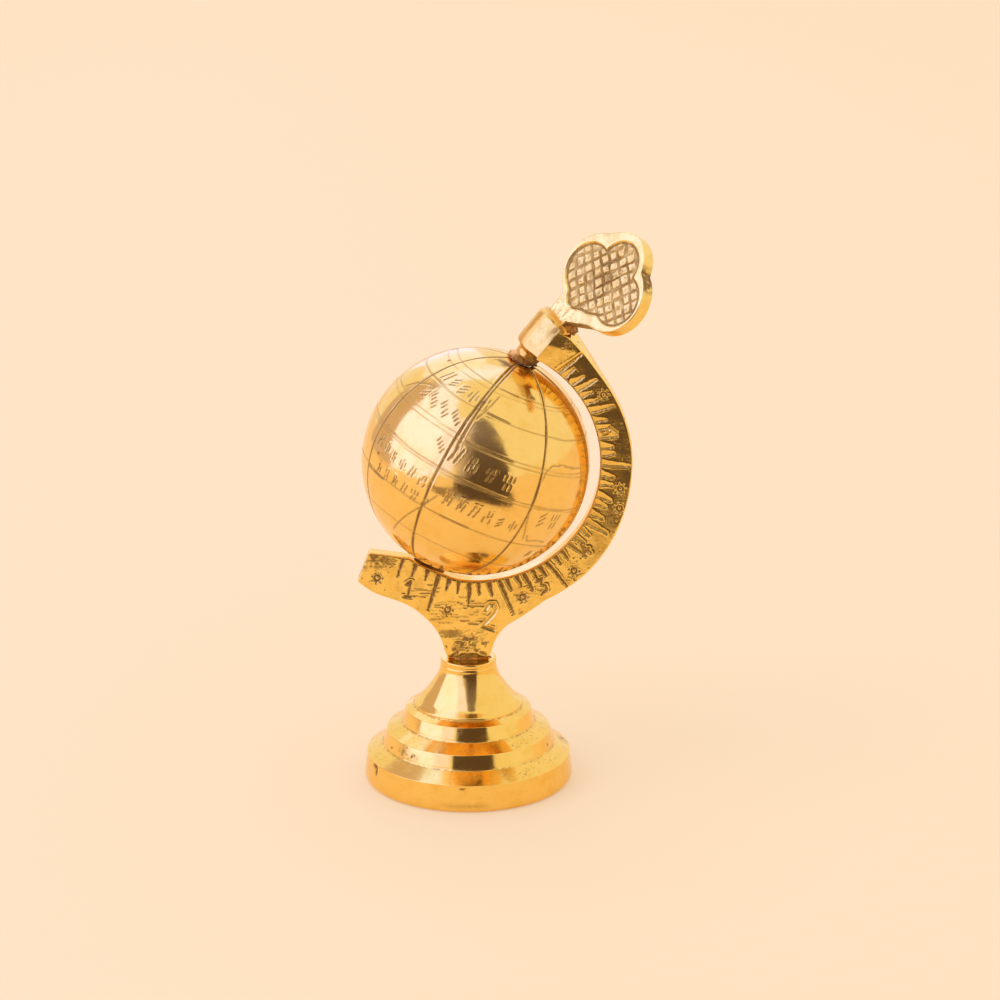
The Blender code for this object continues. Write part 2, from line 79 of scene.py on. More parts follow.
def curveThrough(points, perSpan):
    # Catmull-Rom curve: a cubic between each pair of points, whose slopes come from the neighbours
    points = np.array(points, float)
    ends = np.vstack((points[:1], points, points[-1:]))
    t = np.linspace(0.0, 1.0, perSpan, endpoint=False)[None, :, None]
    before, a, b, after = (ends[k:len(ends) - 3 + k, None, :] for k in range(4))
    curve = a + 0.5 * ((b - before) * t + (2 * before - 5 * a + 4 * b - after) * t ** 2
                       + (3 * a - before - 3 * b + after) * t ** 3)
    return np.vstack((curve.reshape(-1, points.shape[1]), points[-1:]))


def walkAlong(path, distances):
    # the points at these distances along a polyline, between its points in straight lines
    lengths = np.concatenate(([0.0], np.cumsum(np.linalg.norm(np.diff(path, axis=0), axis=1))))
    return np.stack([np.interp(distances, lengths, path[:, k]) for k in range(path.shape[1])], axis=1)


def pathLength(path):
    return float(np.linalg.norm(np.diff(path, axis=0), axis=1).sum())


def strokeDistance(x, y, start, end):
    # distance from each point to the straight stroke from start to end, and the share of it passed
    dx, dy = end[0] - start[0], end[1] - start[1]
    share = np.clip(((x - start[0]) * dx + (y - start[1]) * dy) / (dx * dx + dy * dy + 1e-9), 0.0, 1.0)
    return np.hypot(x - start[0] - share * dx, y - start[1] - share * dy), share


def turnFrom(degrees, middle):
    # how far each angle lies from the middle one, -180 to 180
    return (degrees - middle + 180.0) % 360.0 - 180.0


def blankRelief(shape):
    return {"sunk": np.zeros(shape), "raised": np.zeros(shape), "stainAndShade": np.zeros(shape)}


def layOn(relief, sunk, raised, brown, window=Ellipsis):
    # each layer keeps the larger of what it had and what is laid on
    for key, value in (("sunk", sunk), ("raised", raised), ("stainAndShade", brown)):
        relief[key][window] = np.maximum(relief[key][window], value)


def darken(relief, brown):
    relief["stainAndShade"] = np.maximum(relief["stainAndShade"], brown)


def carve(relief, distance, halfWidth, depth, burr=0.3, stainAndShade=1.0, window=Ellipsis):
    # a groove that falls smoothly from its edge to its middle, a low burr along both edges, and
    # the brown that gathers in it
    sunk = depth * (1.0 - smoothStep(distance, 0.0, halfWidth))
    ridge = burr * depth * np.exp(-((distance - 1.25 * halfWidth) / (0.45 * halfWidth)) ** 2)
    brown = stainAndShade * (1.0 - smoothStep(distance, 0.35 * halfWidth, 1.05 * halfWidth))
    layOn(relief, sunk, ridge, brown, window)


def chisel(relief, signed, halfWidth, depth, burr, stainAndShade):
    # a cut with a leaning graver: a wide facet that deepens from the upper edge down to a steep lower
    # wall, so the facet looks downwards; brown in the wall, and over the facet where it was never cleaned
    share = signed / halfWidth
    sunk = depth * np.clip(np.minimum((1.0 - share) / 1.72, (share + 1.0) / 0.28), 0.0, 1.0)
    ridge = burr * depth * np.exp(-((np.abs(share) - 1.2) / 0.4) ** 2)
    wall = 0.55 * np.exp(-((share + 0.9) / 0.22) ** 2)
    brown = stainAndShade * (1.0 - smoothStep(np.abs(share), 0.6, 1.1))
    layOn(relief, sunk, ridge, np.maximum(wall, brown))


def reliefHeight(relief):
    # burrs less grooves, with no burr left standing inside a groove
    deepest = max(float(relief["sunk"].max()), 1e-6)
    return relief["raised"] * (1.0 - smoothStep(relief["sunk"], 0.0, 0.4 * deepest)) - relief["sunk"]


def surface(name, points, wrap, poles=False, layers=None):
    # a grid of points in millimetres as quads; wrap joins the last column to the first, and poles
    # closes the first and last row on their middle points. Rows run so that faces point outwards
    rows, columns = points.shape[:2]
    vertices = points.reshape(-1, 3)
    index = np.arange(rows * columns).reshape(rows, columns)
    right = np.roll(index, -1, axis=1) if wrap else index[:, 1:]
    left = index if wrap else index[:, :-1]
    quads = np.stack((left[:-1], right[:-1], right[1:], left[1:]), axis=-1).reshape(-1, 4)
    faces = quads.tolist()
    values = {key: value.ravel() for key, value in (layers or {}).items()}
    if poles:
        for row, turn in ((0, 1), (rows - 1, -1)):
            centre = len(vertices)
            vertices = np.vstack((vertices, points[row].mean(axis=0)))
            ring = index[row]
            fan = np.stack((np.full(columns, centre), np.roll(ring, -turn), ring), axis=-1)
            faces += fan.tolist()
            values = {key: np.append(value, value[ring].mean()) for key, value in values.items()}
    mesh = bpy.data.meshes.new(name)
    mesh.from_pydata((vertices * millimetre).tolist(), [], faces)
    for key, value in values.items():
        layer = mesh.attributes.new(key, "FLOAT", "POINT")
        layer.data.foreach_set("value", value.astype(np.float32))
    mesh.shade_smooth()
    obj = bpy.data.objects.new(name, mesh)
    bpy.context.scene.collection.objects.link(obj)
    print(f"{name}: {len(faces)} faces")
    return obj


def inFrame(origin, right, forward, up, points):
    # local points to the row frame: origin + x right + y forward + z up
    return origin + points[..., :1] * right + points[..., 1:2] * forward + points[..., 2:] * up


def tilted(degrees):
    # unit vectors right and up of a frame leaned from the vertical towards +X
    lean = np.radians(degrees)
    return np.array((np.cos(lean), 0.0, -np.sin(lean))), np.array((np.sin(lean), 0.0, np.cos(lean)))


def revolve(name, profile, origin, right, up, columns, bumps=None, layers=None):
    # profile of (radius, height) from the bottom up, turned about the up axis; bumps gives a change
    # of radius at every turn and height
    turn = np.linspace(0.0, 2.0 * np.pi, columns, endpoint=False)
    radius = profile[:, :1] + 0.0 * turn
    if bumps is not None:
        radius = radius + bumps
    local = np.stack((radius * np.cos(turn), radius * np.sin(turn), profile[:, 1:] + 0.0 * turn), axis=-1)
    forward = np.cross(up, right)
    return surface(name, inFrame(origin, right, forward, up, local), True, True, layers)


def roundedProfile(corners, spacing):
    # the polyline through corners of (radius, height, rounding): each corner becomes an arc-like
    # quadratic curve that starts and ends at its rounding distance, then all is walked evenly
    corners = np.array(corners, float)
    pieces = [corners[:1, :2]]
    t = np.linspace(0.0, 1.0, 9)[:, None]
    for before, corner, after in zip(corners, corners[1:], corners[2:]):
        a, b, c = before[:2], corner[:2], after[:2]
        first = b + (a - b) * min(0.5, corner[2] / np.linalg.norm(a - b))
        last = b + (c - b) * min(0.5, corner[2] / np.linalg.norm(c - b))
        pieces.append((1 - t) ** 2 * first + 2 * t * (1 - t) * b + t ** 2 * last)
    path = np.vstack(pieces + [corners[-1:, :2]])
    lengths = np.concatenate(([0.0], np.cumsum(np.linalg.norm(np.diff(path, axis=0), axis=1))))
    # the middle of every arc tighter than 1 mm is held, and closely followed on both sides
    corner = lengths[5:-1:9][corners[1:-1, 2] < 1.0]
    steps = np.concatenate([corner + offset for offset in (-0.09, -0.045, -0.02, 0.0, 0.02, 0.045, 0.09)])
    steps = np.concatenate((np.linspace(0.0, lengths[-1], int(lengths[-1] / spacing)), steps))
    steps = np.unique(np.round(np.clip(steps, 0.0, lengths[-1]), 3))
    return walkAlong(path, steps[np.concatenate(([True], np.diff(steps) > 0.008))])


# the engraved ball

ball = {
    "radius": 23.36,
    # the grid is closer between these longitudes and latitudes
    "closeLongitudes": (-188.0, 8.0), "closeLatitudes": (-68.0, 66.0), "lastLatitude": 89.0,
    "frontColumns": 298, "backColumns": 148, "denseRows": 194, "capRows": 9,
    "waviness": 0.012,
    "socketRadius": 2.1, "socketDepth": 1.1,
    # meridians: longitude at the equator, lean per degree, flare above 40 degrees, from, to, half
    # width, depth
    "meridians": [
        (-112.4, 0.035, 0.0, -70, 84, 0.34, 0.22),
        (-108.6, 0.000, 7.0, 14, 84, 0.26, 0.10),
        (-60.4, 0.012, 2.4, -60, 82, 0.32, 0.20),
        (-157.2, 0.025, 0.0, -64, 82, 0.34, 0.17),
        (-14.0, 0.010, 0.0, -64, 82, 0.33, 0.19),
        (31.0, -0.01, 0.0, -66, 82, 0.34, 0.19),
        (75.0, 0.015, 0.0, -66, 82, 0.33, 0.19),
        (120.0, 0.010, 0.0, -66, 82, 0.34, 0.19),
        (162.0, -0.01, 0.0, -66, 82, 0.33, 0.19),
    ],
    # parallels: latitude at longitude -110, slope per degree, half width, depth
    "parallels": [
        (57.2, -0.012, 0.22, 0.08), (53.6, 0.010, 0.18, 0.03), (40.3, -0.018, 0.23, 0.09),
        (24.4, -0.030, 0.19, 0.06), (22.0, -0.020, 0.20, 0.07), (5.6, -0.028, 0.24, 0.09),
        (4.2, -0.024, 0.18, 0.05), (-16.9, -0.030, 0.24, 0.11), (-35.6, -0.020, 0.22, 0.07),
        (-61.0, 0.0, 0.26, 0.12),
    ],
    # dashes cut deeper into a parallel: latitude, from, to
    "dashes": [
        (40.5, -104, -86), (56.8, -104, -84), (-16.6, -158, -140), (-17.2, -104, -85),
        (5.0, -104, -74), (22.6, -106, -78), (40, 40, 62), (-17, 84, 110), (5, 128, 150),
    ],
    # rows of strokes: first longitude and latitude, last longitude and latitude, height, count
    "strokeRows": [
        (-150, 47.0, -103, 45.0, 6.8, 5), (-151, 33.5, -113, 30.0, 8.6, 4),
        (-122, 15.5, -72, 12.0, 7.8, 5), (-155, 0.0, -114, -5.0, 5.4, 6),
        (-105, -6.0, -62, -9.0, 6.0, 6), (-149, -12.5, -109, -14.6, 5.2, 6),
        (-55, -2.0, -36, -3.0, 8.0, 2), (-46, -24, -24, -26, 4.6, 3), (2, 48, 46, 46, 5.4, 7),
        (6, 14, 58, 12, 6.8, 7), (44, -8, 96, -10, 5.6, 8), (88, 31, 138, 30, 6.6, 7),
        (100, 14, 150, 11, 5.6, 8), (8, -28, 60, -30, 5.4, 7), (128, -8, 172, -9, 5.2, 7),
        (96, -44, 140, -45, 5.0, 6),
    ],
    # fine scratched coast lines and stray cuts, through (longitude, latitude)
    "coasts": [
        [(-58.5, 18), (-57.5, 22), (-54, 25.5), (-46, 26.6), (-38, 25.6), (-28, 25.2)],
        [(-60, 0), (-58.5, -6), (-55, -15)],
        [(-54, -12), (-52, -15.5), (-46, -14.5), (-38, -15.5)],
        [(-101, 52), (-103.5, 44), (-107, 35)],
        [(-107.5, -8), (-112, -16), (-120, -27), (-131, -43.5)],
        [(-144, 38), (-150, 36.5), (-158, 33), (-164, 27)],
        [(-22, 8), (-25, 14), (-24, 20), (-27, 25.2)],
        [(20, 30), (26, 33), (34, 31), (40, 26), (38, 20), (30, 18), (24, 21), (20, 30)],
        [(84, 2), (92, 6), (101, 4), (106, -3), (99, -8), (90, -5), (84, 2)],
        [(132, 40), (140, 45), (150, 43), (153, 36), (146, 30)],
        [(60, -20), (66, -27), (64, -36), (70, -42)],
        [(150, -22), (158, -28), (168, -26), (172, -33)],
    ],
    # brown spots: longitude, latitude, radius in degrees; the first two, beside the upper pivot, are painted
    # shade, the rest stains
    "spots": [(-127.0, 75.9, 5.5), (-116.0, 76.4, 3.5), (-69, -31.5, 3.4), (-166, 52.2, 1.6),
              (-73, 59, 2.6), (-152, 8, 1.2), (-150, -7, 1.3), (50, 24, 2.2), (118, -24, 2.6), (20, 2, 1.6)],
}


def strokeMarks(rng):
    # one of several bundles of separate short strokes, in a unit box; they never meet, so none is a letter
    kinds = (
        ((0.1, 0.0, 0.3, 1.0), (0.42, 0.3, 0.56, 1.0), (0.7, 0.0, 0.88, 0.75)),
        ((0.02, 0.66, 0.2, 1.0), (0.28, 0.46, 0.46, 0.8), (0.54, 0.26, 0.72, 0.6), (0.8, 0.06, 0.98, 0.4)),
        ((0.02, 0.62, 0.1, 1.0), (0.46, 0.62, 0.54, 1.0), (0.9, 0.62, 0.98, 1.0), (0.22, 0.0, 0.3, 0.38),
         (0.68, 0.0, 0.76, 0.38)),
        ((0.08, 0.0, 0.14, 0.55), (0.46, 0.42, 0.52, 1.0), (0.84, 0.0, 0.9, 0.36), (0.84, 0.6, 0.9, 1.0)),
        ((0.08, 0.0, 0.4, 1.0), (0.6, 0.0, 0.92, 1.0)),
        ((0.28, 1.0, 0.28, 0.46), (0.28, 0.3, 0.28, 0.0), (0.72, 1.0, 0.72, 0.7), (0.72, 0.54, 0.72, 0.0)),
        ((0.2, 0.68, 0.8, 0.96), (0.2, 0.36, 0.8, 0.64), (0.2, 0.04, 0.8, 0.32)),
        ((0.5, 0.0, 0.5, 1.0), (0.12, 0.28, 0.12, 0.7), (0.88, 0.3, 0.88, 0.72)),
    )
    strokes = np.array(kinds[rng.integers(len(kinds))])
    return strokes + rng.uniform(-0.035, 0.035, strokes.shape)


def ballPatch(longitudes, latitudes, place, reach, squeeze):
    # the window of the grid within reach of a place, and its points in millimetres east and north of
    # that place; squeeze shortens a degree of longitude, as the cosine of the latitude does
    perDegree = np.radians(1.0) * ball["radius"]
    east = turnFrom(longitudes, place[0])
    north = latitudes - place[1]
    columns = np.flatnonzero(np.abs(east) < reach[0])
    rows = np.flatnonzero(np.abs(north) < reach[1])
    x, y = np.meshgrid(east[columns] * perDegree * squeeze, north[rows] * perDegree)
    return np.ix_(rows, columns), x, y


def ballRelief(longitudes, latitudes):
    # all that is cut into the ball: meridians, parallels, dashes, rows of strokes, coasts, and stains, with
    # painted shade at both pivots
    lon, lat = np.meshgrid(longitudes, latitudes)
    radius = ball["radius"]
    perDegree = np.radians(1.0) * radius
    shrink = np.cos(np.radians(lat))
    relief = blankRelief(lon.shape)
    # hand-cut unevenness: slow noise shifts each line and changes how deep it is
    around = np.stack((np.cos(np.radians(lon)) * shrink, np.sin(np.radians(lon)) * shrink,
                       np.sin(np.radians(lat))), axis=-1) * radius
    drift = 0.09 * softNoise(around, 5.0, 11)
    force = 0.78 + 0.42 * softNoise(around, 3.2, 12)

    for equator, lean, flare, low, high, halfWidth, depth in ball["meridians"]:
        line = equator + lean * lat + flare * (np.clip(lat - 40.0, 0.0, None) / 40.0) ** 2
        gap = np.abs(turnFrom(lon, line)) * perDegree * shrink + drift
        ends = smoothStep(lat, low - 3.0, low) * (1.0 - smoothStep(lat, high, high + 3.0))
        carve(relief, np.abs(gap), halfWidth, depth * force * ends, 0.34, 0.95 * ends)

    for level, slope, halfWidth, depth in ball["parallels"]:
        line = level + slope * turnFrom(lon, -110.0) * np.cos(np.radians(lon + 110.0) / 2)
        gap = np.abs((lat - line) * perDegree + drift)
        carve(relief, gap, halfWidth, depth * force, 0.34, np.clip(0.25 + 3.2 * depth * force, 0.0, 0.9))

    for level, start, stop in ball["dashes"]:
        middle, half = 0.5 * (start + stop), 0.5 * (stop - start)
        inside = 1.0 - smoothStep(np.abs(turnFrom(lon, middle)), half - 2.0, half + 1.0)
        gap = np.abs((lat - level - 0.02 * (middle - lon)) * perDegree + drift)
        carve(relief, gap, 0.25, 0.15 * inside, 0.4, 0.9 * inside)

    rng = np.random.default_rng(7)
    for startLon, startLat, stopLon, stopLat, height, count in ball["strokeRows"]:
        for share in (np.arange(count) + 0.5) / count:
            slotLon = startLon + (stopLon - startLon) * share
            slotLat = startLat + (stopLat - startLat) * share + rng.uniform(-0.5, 0.5)
            tall = height * perDegree * rng.uniform(0.85, 1.1)
            wide = 0.74 * tall
            squeeze = np.cos(np.radians(slotLat))
            reach = (np.degrees(1.5 * tall / (radius * squeeze)), 1.2 * height)
            window, x, y = ballPatch(longitudes, latitudes, (slotLon, slotLat), reach, squeeze)
            for stroke in strokeMarks(rng):
                start, end = (stroke.reshape(2, 2) - 0.5) * (wide, tall)
                distance, passed = strokeDistance(x, y, start, end)
                halfWidth = (0.17 + 0.02 * tall) * (1.1 - 0.25 * passed)
                carve(relief, distance, halfWidth, 0.12, 0.55, 0.8, window)

    for coast in ball["coasts"]:
        for (lonA, latA), (lonB, latB) in zip(coast, coast[1:]):
            squeeze = np.cos(np.radians((latA + latB) / 2))
            reach = (abs(lonB - lonA) + 4.0, abs(latB - latA) + 4.0)
            window, x, y = ballPatch(longitudes, latitudes, (lonA, latA), reach, squeeze)
            end = ((lonB - lonA) * perDegree * squeeze, (latB - latA) * perDegree)
            distance, _ = strokeDistance(x, y, (0.0, 0.0), end)
            carve(relief, distance, 0.25, 0.07, 0.35, 0.6, window)

    # stains, save the first two spots, which are painted shade beside the upper pivot
    for spotLon, spotLat, size in ball["spots"]:
        away = np.hypot(turnFrom(lon, spotLon) * np.cos(np.radians(spotLat)), (lat - spotLat) * 1.5)
        ragged = away + 0.35 * size * softNoise(around, 0.9, 13)
        darken(relief, 0.85 * (1.0 - smoothStep(ragged, 0.5 * size, size)))
    darken(relief, smoothStep(np.abs(lat), 84.8, 86.0))  # painted shade round the sockets of both pivots
    return relief, around


def makeBall():
    # sphere on a grid of longitude and latitude, closer on the front; the radius is the ball's less the
    # engraving, and falls into a socket at both poles
    left, right = ball["closeLongitudes"]
    low, high = ball["closeLatitudes"]
    longitudes = np.concatenate((
        np.linspace(left, right, ball["frontColumns"], endpoint=False),
        np.linspace(right, left + 360.0, ball["backColumns"], endpoint=False)))
    latitudes = np.concatenate((
        np.linspace(-ball["lastLatitude"], low, ball["capRows"], endpoint=False),
        np.linspace(low, high, ball["denseRows"], endpoint=False),
        np.linspace(high, ball["lastLatitude"], ball["capRows"] + 4)))
    relief, around = ballRelief(longitudes, latitudes)
    lon, lat = (np.radians(grid) for grid in np.meshgrid(longitudes, latitudes))
    away = ball["radius"] * np.cos(lat)
    socket = ball["socketDepth"] * (1.0 - smoothStep(away, 0.75 * ball["socketRadius"], ball["socketRadius"]))
    radius = ball["radius"] + reliefHeight(relief) - socket + ball["waviness"] * softNoise(around, 7.0, 14)
    points = np.stack((np.cos(lat) * np.cos(lon), np.cos(lat) * np.sin(lon), np.sin(lat)), axis=-1)
    points = inFrame(ballCentre, ballRight, backwards, spinAxis, points * radius[..., None])
    return surface("engravedBall", points, True, True, {"stainAndShade": relief["stainAndShade"]})


# the barrel that holds the pin, the top of the arm and the finial

barrel = {
    "lean": 38.5, "top": (18.25, 0.0, 99.1), "radius": 4.0, "length": 8.2,
    # the filed flat: distance from the pin, degrees it faces to the left, and where its ridge runs
    "flat": 3.84, "flatTurn": 24.0, "ridge": 1.1,
    "collarRadius": 2.7, "collarLength": 2.2,
    "spacing": 0.14, "columns": 360,
}
# the arm's shelf beside the barrel: height over the pin's plane, which falls to the right and upwards
shelf = {"height": 4.12, "from": -3.4, "fallAcross": 0.19, "fallAlong": 0.12}
pinRight, pinUp = tilted(barrel["lean"])
barrelTop = np.array(barrel["top"])


def makeBarrel():
    # barrel and collar turned about the pin; its top is flat with a worn rim
    length, collar = barrel["length"], barrel["collarLength"]
    radius, collarRadius = barrel["radius"], barrel["collarRadius"]
    profile = roundedProfile([
        (0.05, -length - collar, 0.0), (collarRadius - 0.15, -length - collar, 0.35),
        (collarRadius, -length - 0.7, 0.4), (radius - 0.2, -length, 0.3), (radius, -length + 0.6, 0.4),
        (radius, -0.6, 0.5), (radius - 0.6, 0.45, 0.8), (0.05, 1.05, 0.0)], barrel["spacing"])
    columns, along = barrel["columns"], profile[:, 1:]
    turn = np.linspace(0.0, 2.0 * np.pi, columns, endpoint=False)[None, :]
    around = np.stack((profile[:, :1] * np.cos(turn), profile[:, :1] * np.sin(turn), along + 0.0 * turn),
                      axis=-1)
    side = smoothStep(profile[:, :1], 1.0, 2.5)
    # the front is filed to a flat that faces the left a little and ends at a ridge on the right
    fromFront = turn + np.radians(90.0)
    fromFront = np.arctan2(np.sin(fromFront), np.cos(fromFront))
    flat = barrel["flat"] / np.maximum(np.cos(fromFront + np.radians(barrel["flatTurn"])), 0.5)
    ridge = barrel["ridge"] / np.maximum(np.sin(fromFront), 1e-3)
    onBody = smoothStep(along, -length - 0.1, -length + 0.3) * (1.0 - smoothStep(along, -0.6, -0.3))
    reachesFlat = (fromFront > np.radians(-40.3)) & (fromFront < np.radians(16.0))
    filed = np.where(reachesFlat, np.minimum(flat, ridge) - profile[:, :1], 0.0) * onBody
    # right of the ridge it is cut back just under the arm's shelf
    under = shelf["height"] - 0.12 - shelf["fallAlong"] * (along - shelf["from"])
    under = under / np.maximum(np.cos(fromFront) + shelf["fallAcross"] * np.sin(fromFront), 0.2)
    cutBack = np.where((fromFront >= np.radians(14.0)) & (fromFront < np.radians(75.0)),
                       np.minimum(under - profile[:, :1], 0.0), 0.0)
    brushed = np.where(reachesFlat, 1.0, 0.0) * onBody
    waves = 0.03 * softNoise(around, 1.4, 71) * (1.0 - 0.7 * brushed) + 0.008 * softNoise(around, 0.5, 72)
    bumps = filed + cutBack + side * waves
    low = smoothStep(-along, length - 0.3, length + 0.4)
    bumps = bumps + side * low * 0.10 * softNoise(around, 0.8, 73)
    # painted shade low on the right, brown; a worn yellow where it was never filed; grey marks high on the
    # flat's right
    streaks = softNoise(around * np.array((2.2, 2.2, 0.7)), 1.0, 75)
    corner = smoothStep(np.sin(fromFront) * radius, -1.0, 0.9) * smoothStep(along, -5.4, -2.0)
    # painted shade: browner low on the right
    stainAndShade = low * smoothStep(np.cos(turn) + 0.5 * softNoise(around, 1.2, 74), -0.2, 0.8)
    stainAndShade = stainAndShade + 0.06 * (1.0 - brushed) + brushed * corner * (0.3 + 0.6 * smoothStep(streaks, -0.3, 0.5))
    stainAndShade = np.clip(stainAndShade, 0.0, 1.0)
    return revolve("pivotBarrel", profile, barrelTop, pinRight, pinUp, columns, bumps,
                   {"stainAndShade": stainAndShade, "tarnish": 1.0 - brushed})


# the arm with its scale

arm = {
    "innerRadius": 25.4, "outerRadius": 32.0, "swell": 0.9, "waist": 0.4, "spread": 1.9,
    "pad": 0.75, "halfThickness": 1.7, "topHalfThickness": 2.4, "bevel": 1.25, "edge": 0.3,
    "topAngle": 61.5, "innerEnd": -124.0, "outerEnd": -64.0,
    # where the inner edge faces the corners of the outer one
    "facingAngles": (-64.0, -79.0, -84.0, -97.0, -101.0, -123.9),
    # the ramp up to the barrel: across and along the pin at its foot, slope of that foot, height, rise
    "rampFoot": (6.47, -8.49), "rampSlope": 0.257, "rampHeight": 2.35, "rampRise": 0.27,
    "tail": [(-20.3, 49.6), (-22.7, 43.3)],
    "leftShoulder": [(-22.7, 43.3), (-19.2, 40.8), (-12.6, 38.2), (-8.5, 35.0), (-6.0, 31.6), (-4.9, 28.3)],
    "stemFoot": [(-4.2, 26.5), (4.2, 26.5)],
    "rightShoulder": [(4.9, 28.3), (5.7, 30.7), (7.8, 33.5), (11.3, 35.8)],
    "columns": 560, "frontRows": 72, "backRows": 22, "sideRows": 9,
    # long marks: angle, length and how far each leans off the radius
    "longMarks": [
        (-126.0, 4.3, 17.0), (-107.5, 8.1, 1.0), (-79.2, 7.6, 12.0), (-55.6, 6.8, 5.0),
        (-28.7, 4.9, -3.0), (0.2, 6.0, -7.0), (25.8, 4.9, -13.0), (50.0, 6.7, -12.8),
    ],
    "marksBetween": (2, 5, 5, 5, 5, 5, 5), "middleMark": 3.9, "shortMark": 2.4,
    "markHalfWidth": 0.44, "markDepth": 0.3,
    # small flower stamps: x and z
    "flowers": [(-18.7, 44.1), (-4.2, 37.2), (11.3, 40.0), (21.8, 45.7), (31.2, 63.4), (31.0, 59.2),
                (27.6, 83.5)],
    "flowerRadius": 0.95, "petals": 7,
    # plain numerals of the scale: foot's x and z, lean in degrees, height, brown, strokes in a unit box
    "numerals": [
        ((-12.5, 39.9), -12.0, 3.6, 0.9,
         ((0.1, 0.78, 0.4, 1.0), (0.4, 1.0, 0.42, 0.04), (0.1, 0.02, 0.75, 0.04))),
        ((3.9, 33.0), -12.0, 5.6, 0.3,
         ((0.05, 0.75, 0.2, 0.95), (0.2, 0.95, 0.5, 1.0), (0.5, 1.0, 0.68, 0.82), (0.68, 0.82, 0.6, 0.6),
          (0.6, 0.6, 0.1, 0.08), (0.1, 0.08, 0.8, 0.02))),
        ((15.9, 41.0), 24.0, 3.2, 0.8,
         ((0.1, 0.95, 0.7, 0.97), (0.7, 0.97, 0.36, 0.6), (0.36, 0.6, 0.72, 0.42), (0.72, 0.42, 0.66, 0.1),
          (0.66, 0.1, 0.12, 0.04))),
        ((25.0, 49.4), 48.0, 2.8, 0.8,
         ((0.55, 1.0, 0.1, 0.36), (0.1, 0.36, 0.85, 0.36), (0.6, 0.75, 0.6, 0.0))),
        ((30.0, 76.0), 104.0, 2.8, 0.2,
         ((0.75, 1.0, 0.2, 0.98), (0.2, 0.98, 0.16, 0.6), (0.16, 0.6, 0.62, 0.56), (0.62, 0.56, 0.74, 0.26),
          (0.74, 0.26, 0.14, 0.02))),
    ],
    # patches of fine scratches: middle, count, half spans in x and z, and degrees of spread
    "scratchPatches": [
        ((-2.0, 36.8), 44, 5.5, 3.4, 3.0), ((-3.7, 32.0), 70, 1.6, 0.7, 8.0),
        ((0.6, 31.6), 18, 2.6, 1.4, 20.0), ((-19.4, 47.9), 14, 1.7, 0.9, 60.0),
        ((-16.2, 47.6), 24, 1.3, 0.8, 50.0), ((22.0, 44.0), 8, 2.0, 2.0, 50.0),
        ((-9.0, 41.5), 14, 2.6, 1.6, 4.0), ((12.0, 41.5), 14, 4.0, 2.0, 12.0),
    ],
    "scribble": (-0.7, 29.7), "rubbedPatch": (-3.6, 32.0),
}


def onArm(degrees, radius):
    # the point at an angle and radius about the ball's centre, in the arm's plane
    angle = np.radians(degrees)
    return np.stack((ballCentre[0] + radius * np.cos(angle), ballCentre[2] + radius * np.sin(angle)), axis=-1)


def innerReach(degrees):
    # radius of the inner edge, which rises to a pad at the lower pivot
    return arm["innerRadius"] - arm["pad"] * smoothStep(-degrees, 96.0, 112.0)


def armEdges():
    # inner and outer edges as two paths walked together, from the barrel to the tail. The outer edge
    # swells, narrows, then spreads up to the barrel's flat top, and at its other end runs round the stem
    innerAngles = np.linspace(arm["topAngle"], arm["innerEnd"], 500)
    inner = np.vstack((onArm(innerAngles, innerReach(innerAngles)), arm["tail"][:1]))
    angles = np.linspace(arm["topAngle"], arm["outerEnd"], 400)
    lift = np.clip((angles - 35.0) / 17.0, 0.0, None)
    reach = (arm["outerRadius"] + arm["swell"] * smoothStep(-angles, 4.0, 50.0)
             - arm["waist"] * smoothStep(angles, 0.0, 35.0) + arm["spread"] * lift ** 1.5)
    flatTop = (pinUp @ (barrelTop - ballCentre) - 0.04) / np.cos(np.radians(angles - 90.0 + barrel["lean"]))
    reach = np.where(angles > 35.0, np.minimum(reach, np.abs(flatTop)), reach)
    arcEdge = onArm(angles, reach)
    right = curveThrough(arm["rightShoulder"] + [tuple(arcEdge[-1])], 12)[::-1]
    left = curveThrough(arm["leftShoulder"], 12)[::-1]
    stemFoot = np.array(arm["stemFoot"][::-1])
    outer = np.vstack((arcEdge, right[1:], stemFoot, left))
    # pairs of places that face each other: distances along the inner and the outer edge, the latter to
    # the end of the arc, of the right shoulder, of the stem's right, foot and left, and near the tail
    faced = np.searchsorted(-innerAngles, -np.array(arm["facingAngles"]))
    innerStops = [0.0] + [pathLength(inner[:k]) for k in faced] + [pathLength(inner)]
    steps = np.cumsum([0.0, pathLength(arcEdge), pathLength(right), 2.0, 8.4, 2.0, 0.72 * pathLength(left)])
    outerStops = list(steps) + [pathLength(outer)]
    walk = np.linspace(0.0, pathLength(inner), arm["columns"])
    return walkAlong(inner, walk), walkAlong(outer, np.interp(walk, innerStops, outerStops))


def armMarks():
    # every mark of the scale as a start, an end, a half width and how brown it is; shorter marks stand
    # evenly between the long ones, each a little out of true
    rng = np.random.default_rng(21)
    longMarks = arm["longMarks"]
    places = list(longMarks)
    for (a, _, leanA), (b, _, leanB), between in zip(longMarks, longMarks[1:], arm["marksBetween"]):
        for k in range(1, between + 1):
            share = k / (between + 1)
            middle = 2 * k == between + 1
            length = (arm["middleMark"] if middle else arm["shortMark"]) * rng.uniform(0.8, 1.15)
            lean = leanA + (leanB - leanA) * share + rng.uniform(-7.0, 7.0)
            places.append((a + (b - a) * share + rng.uniform(-0.5, 0.5), length, lean))
    marks = []
    for angle, length, lean in places:
        start = onArm(angle, innerReach(angle) + rng.uniform(0.15, 0.6))
        direction = np.radians(angle + lean)
        end = start + length * np.array((np.cos(direction), np.sin(direction)))
        brown = 0.1 + 0.85 * float(smoothStep(-angle, 15.0, 55.0))  # polished cleaner up the arm
        marks.append((start, end, arm["markHalfWidth"] * rng.uniform(0.85, 1.15), brown))
    return marks


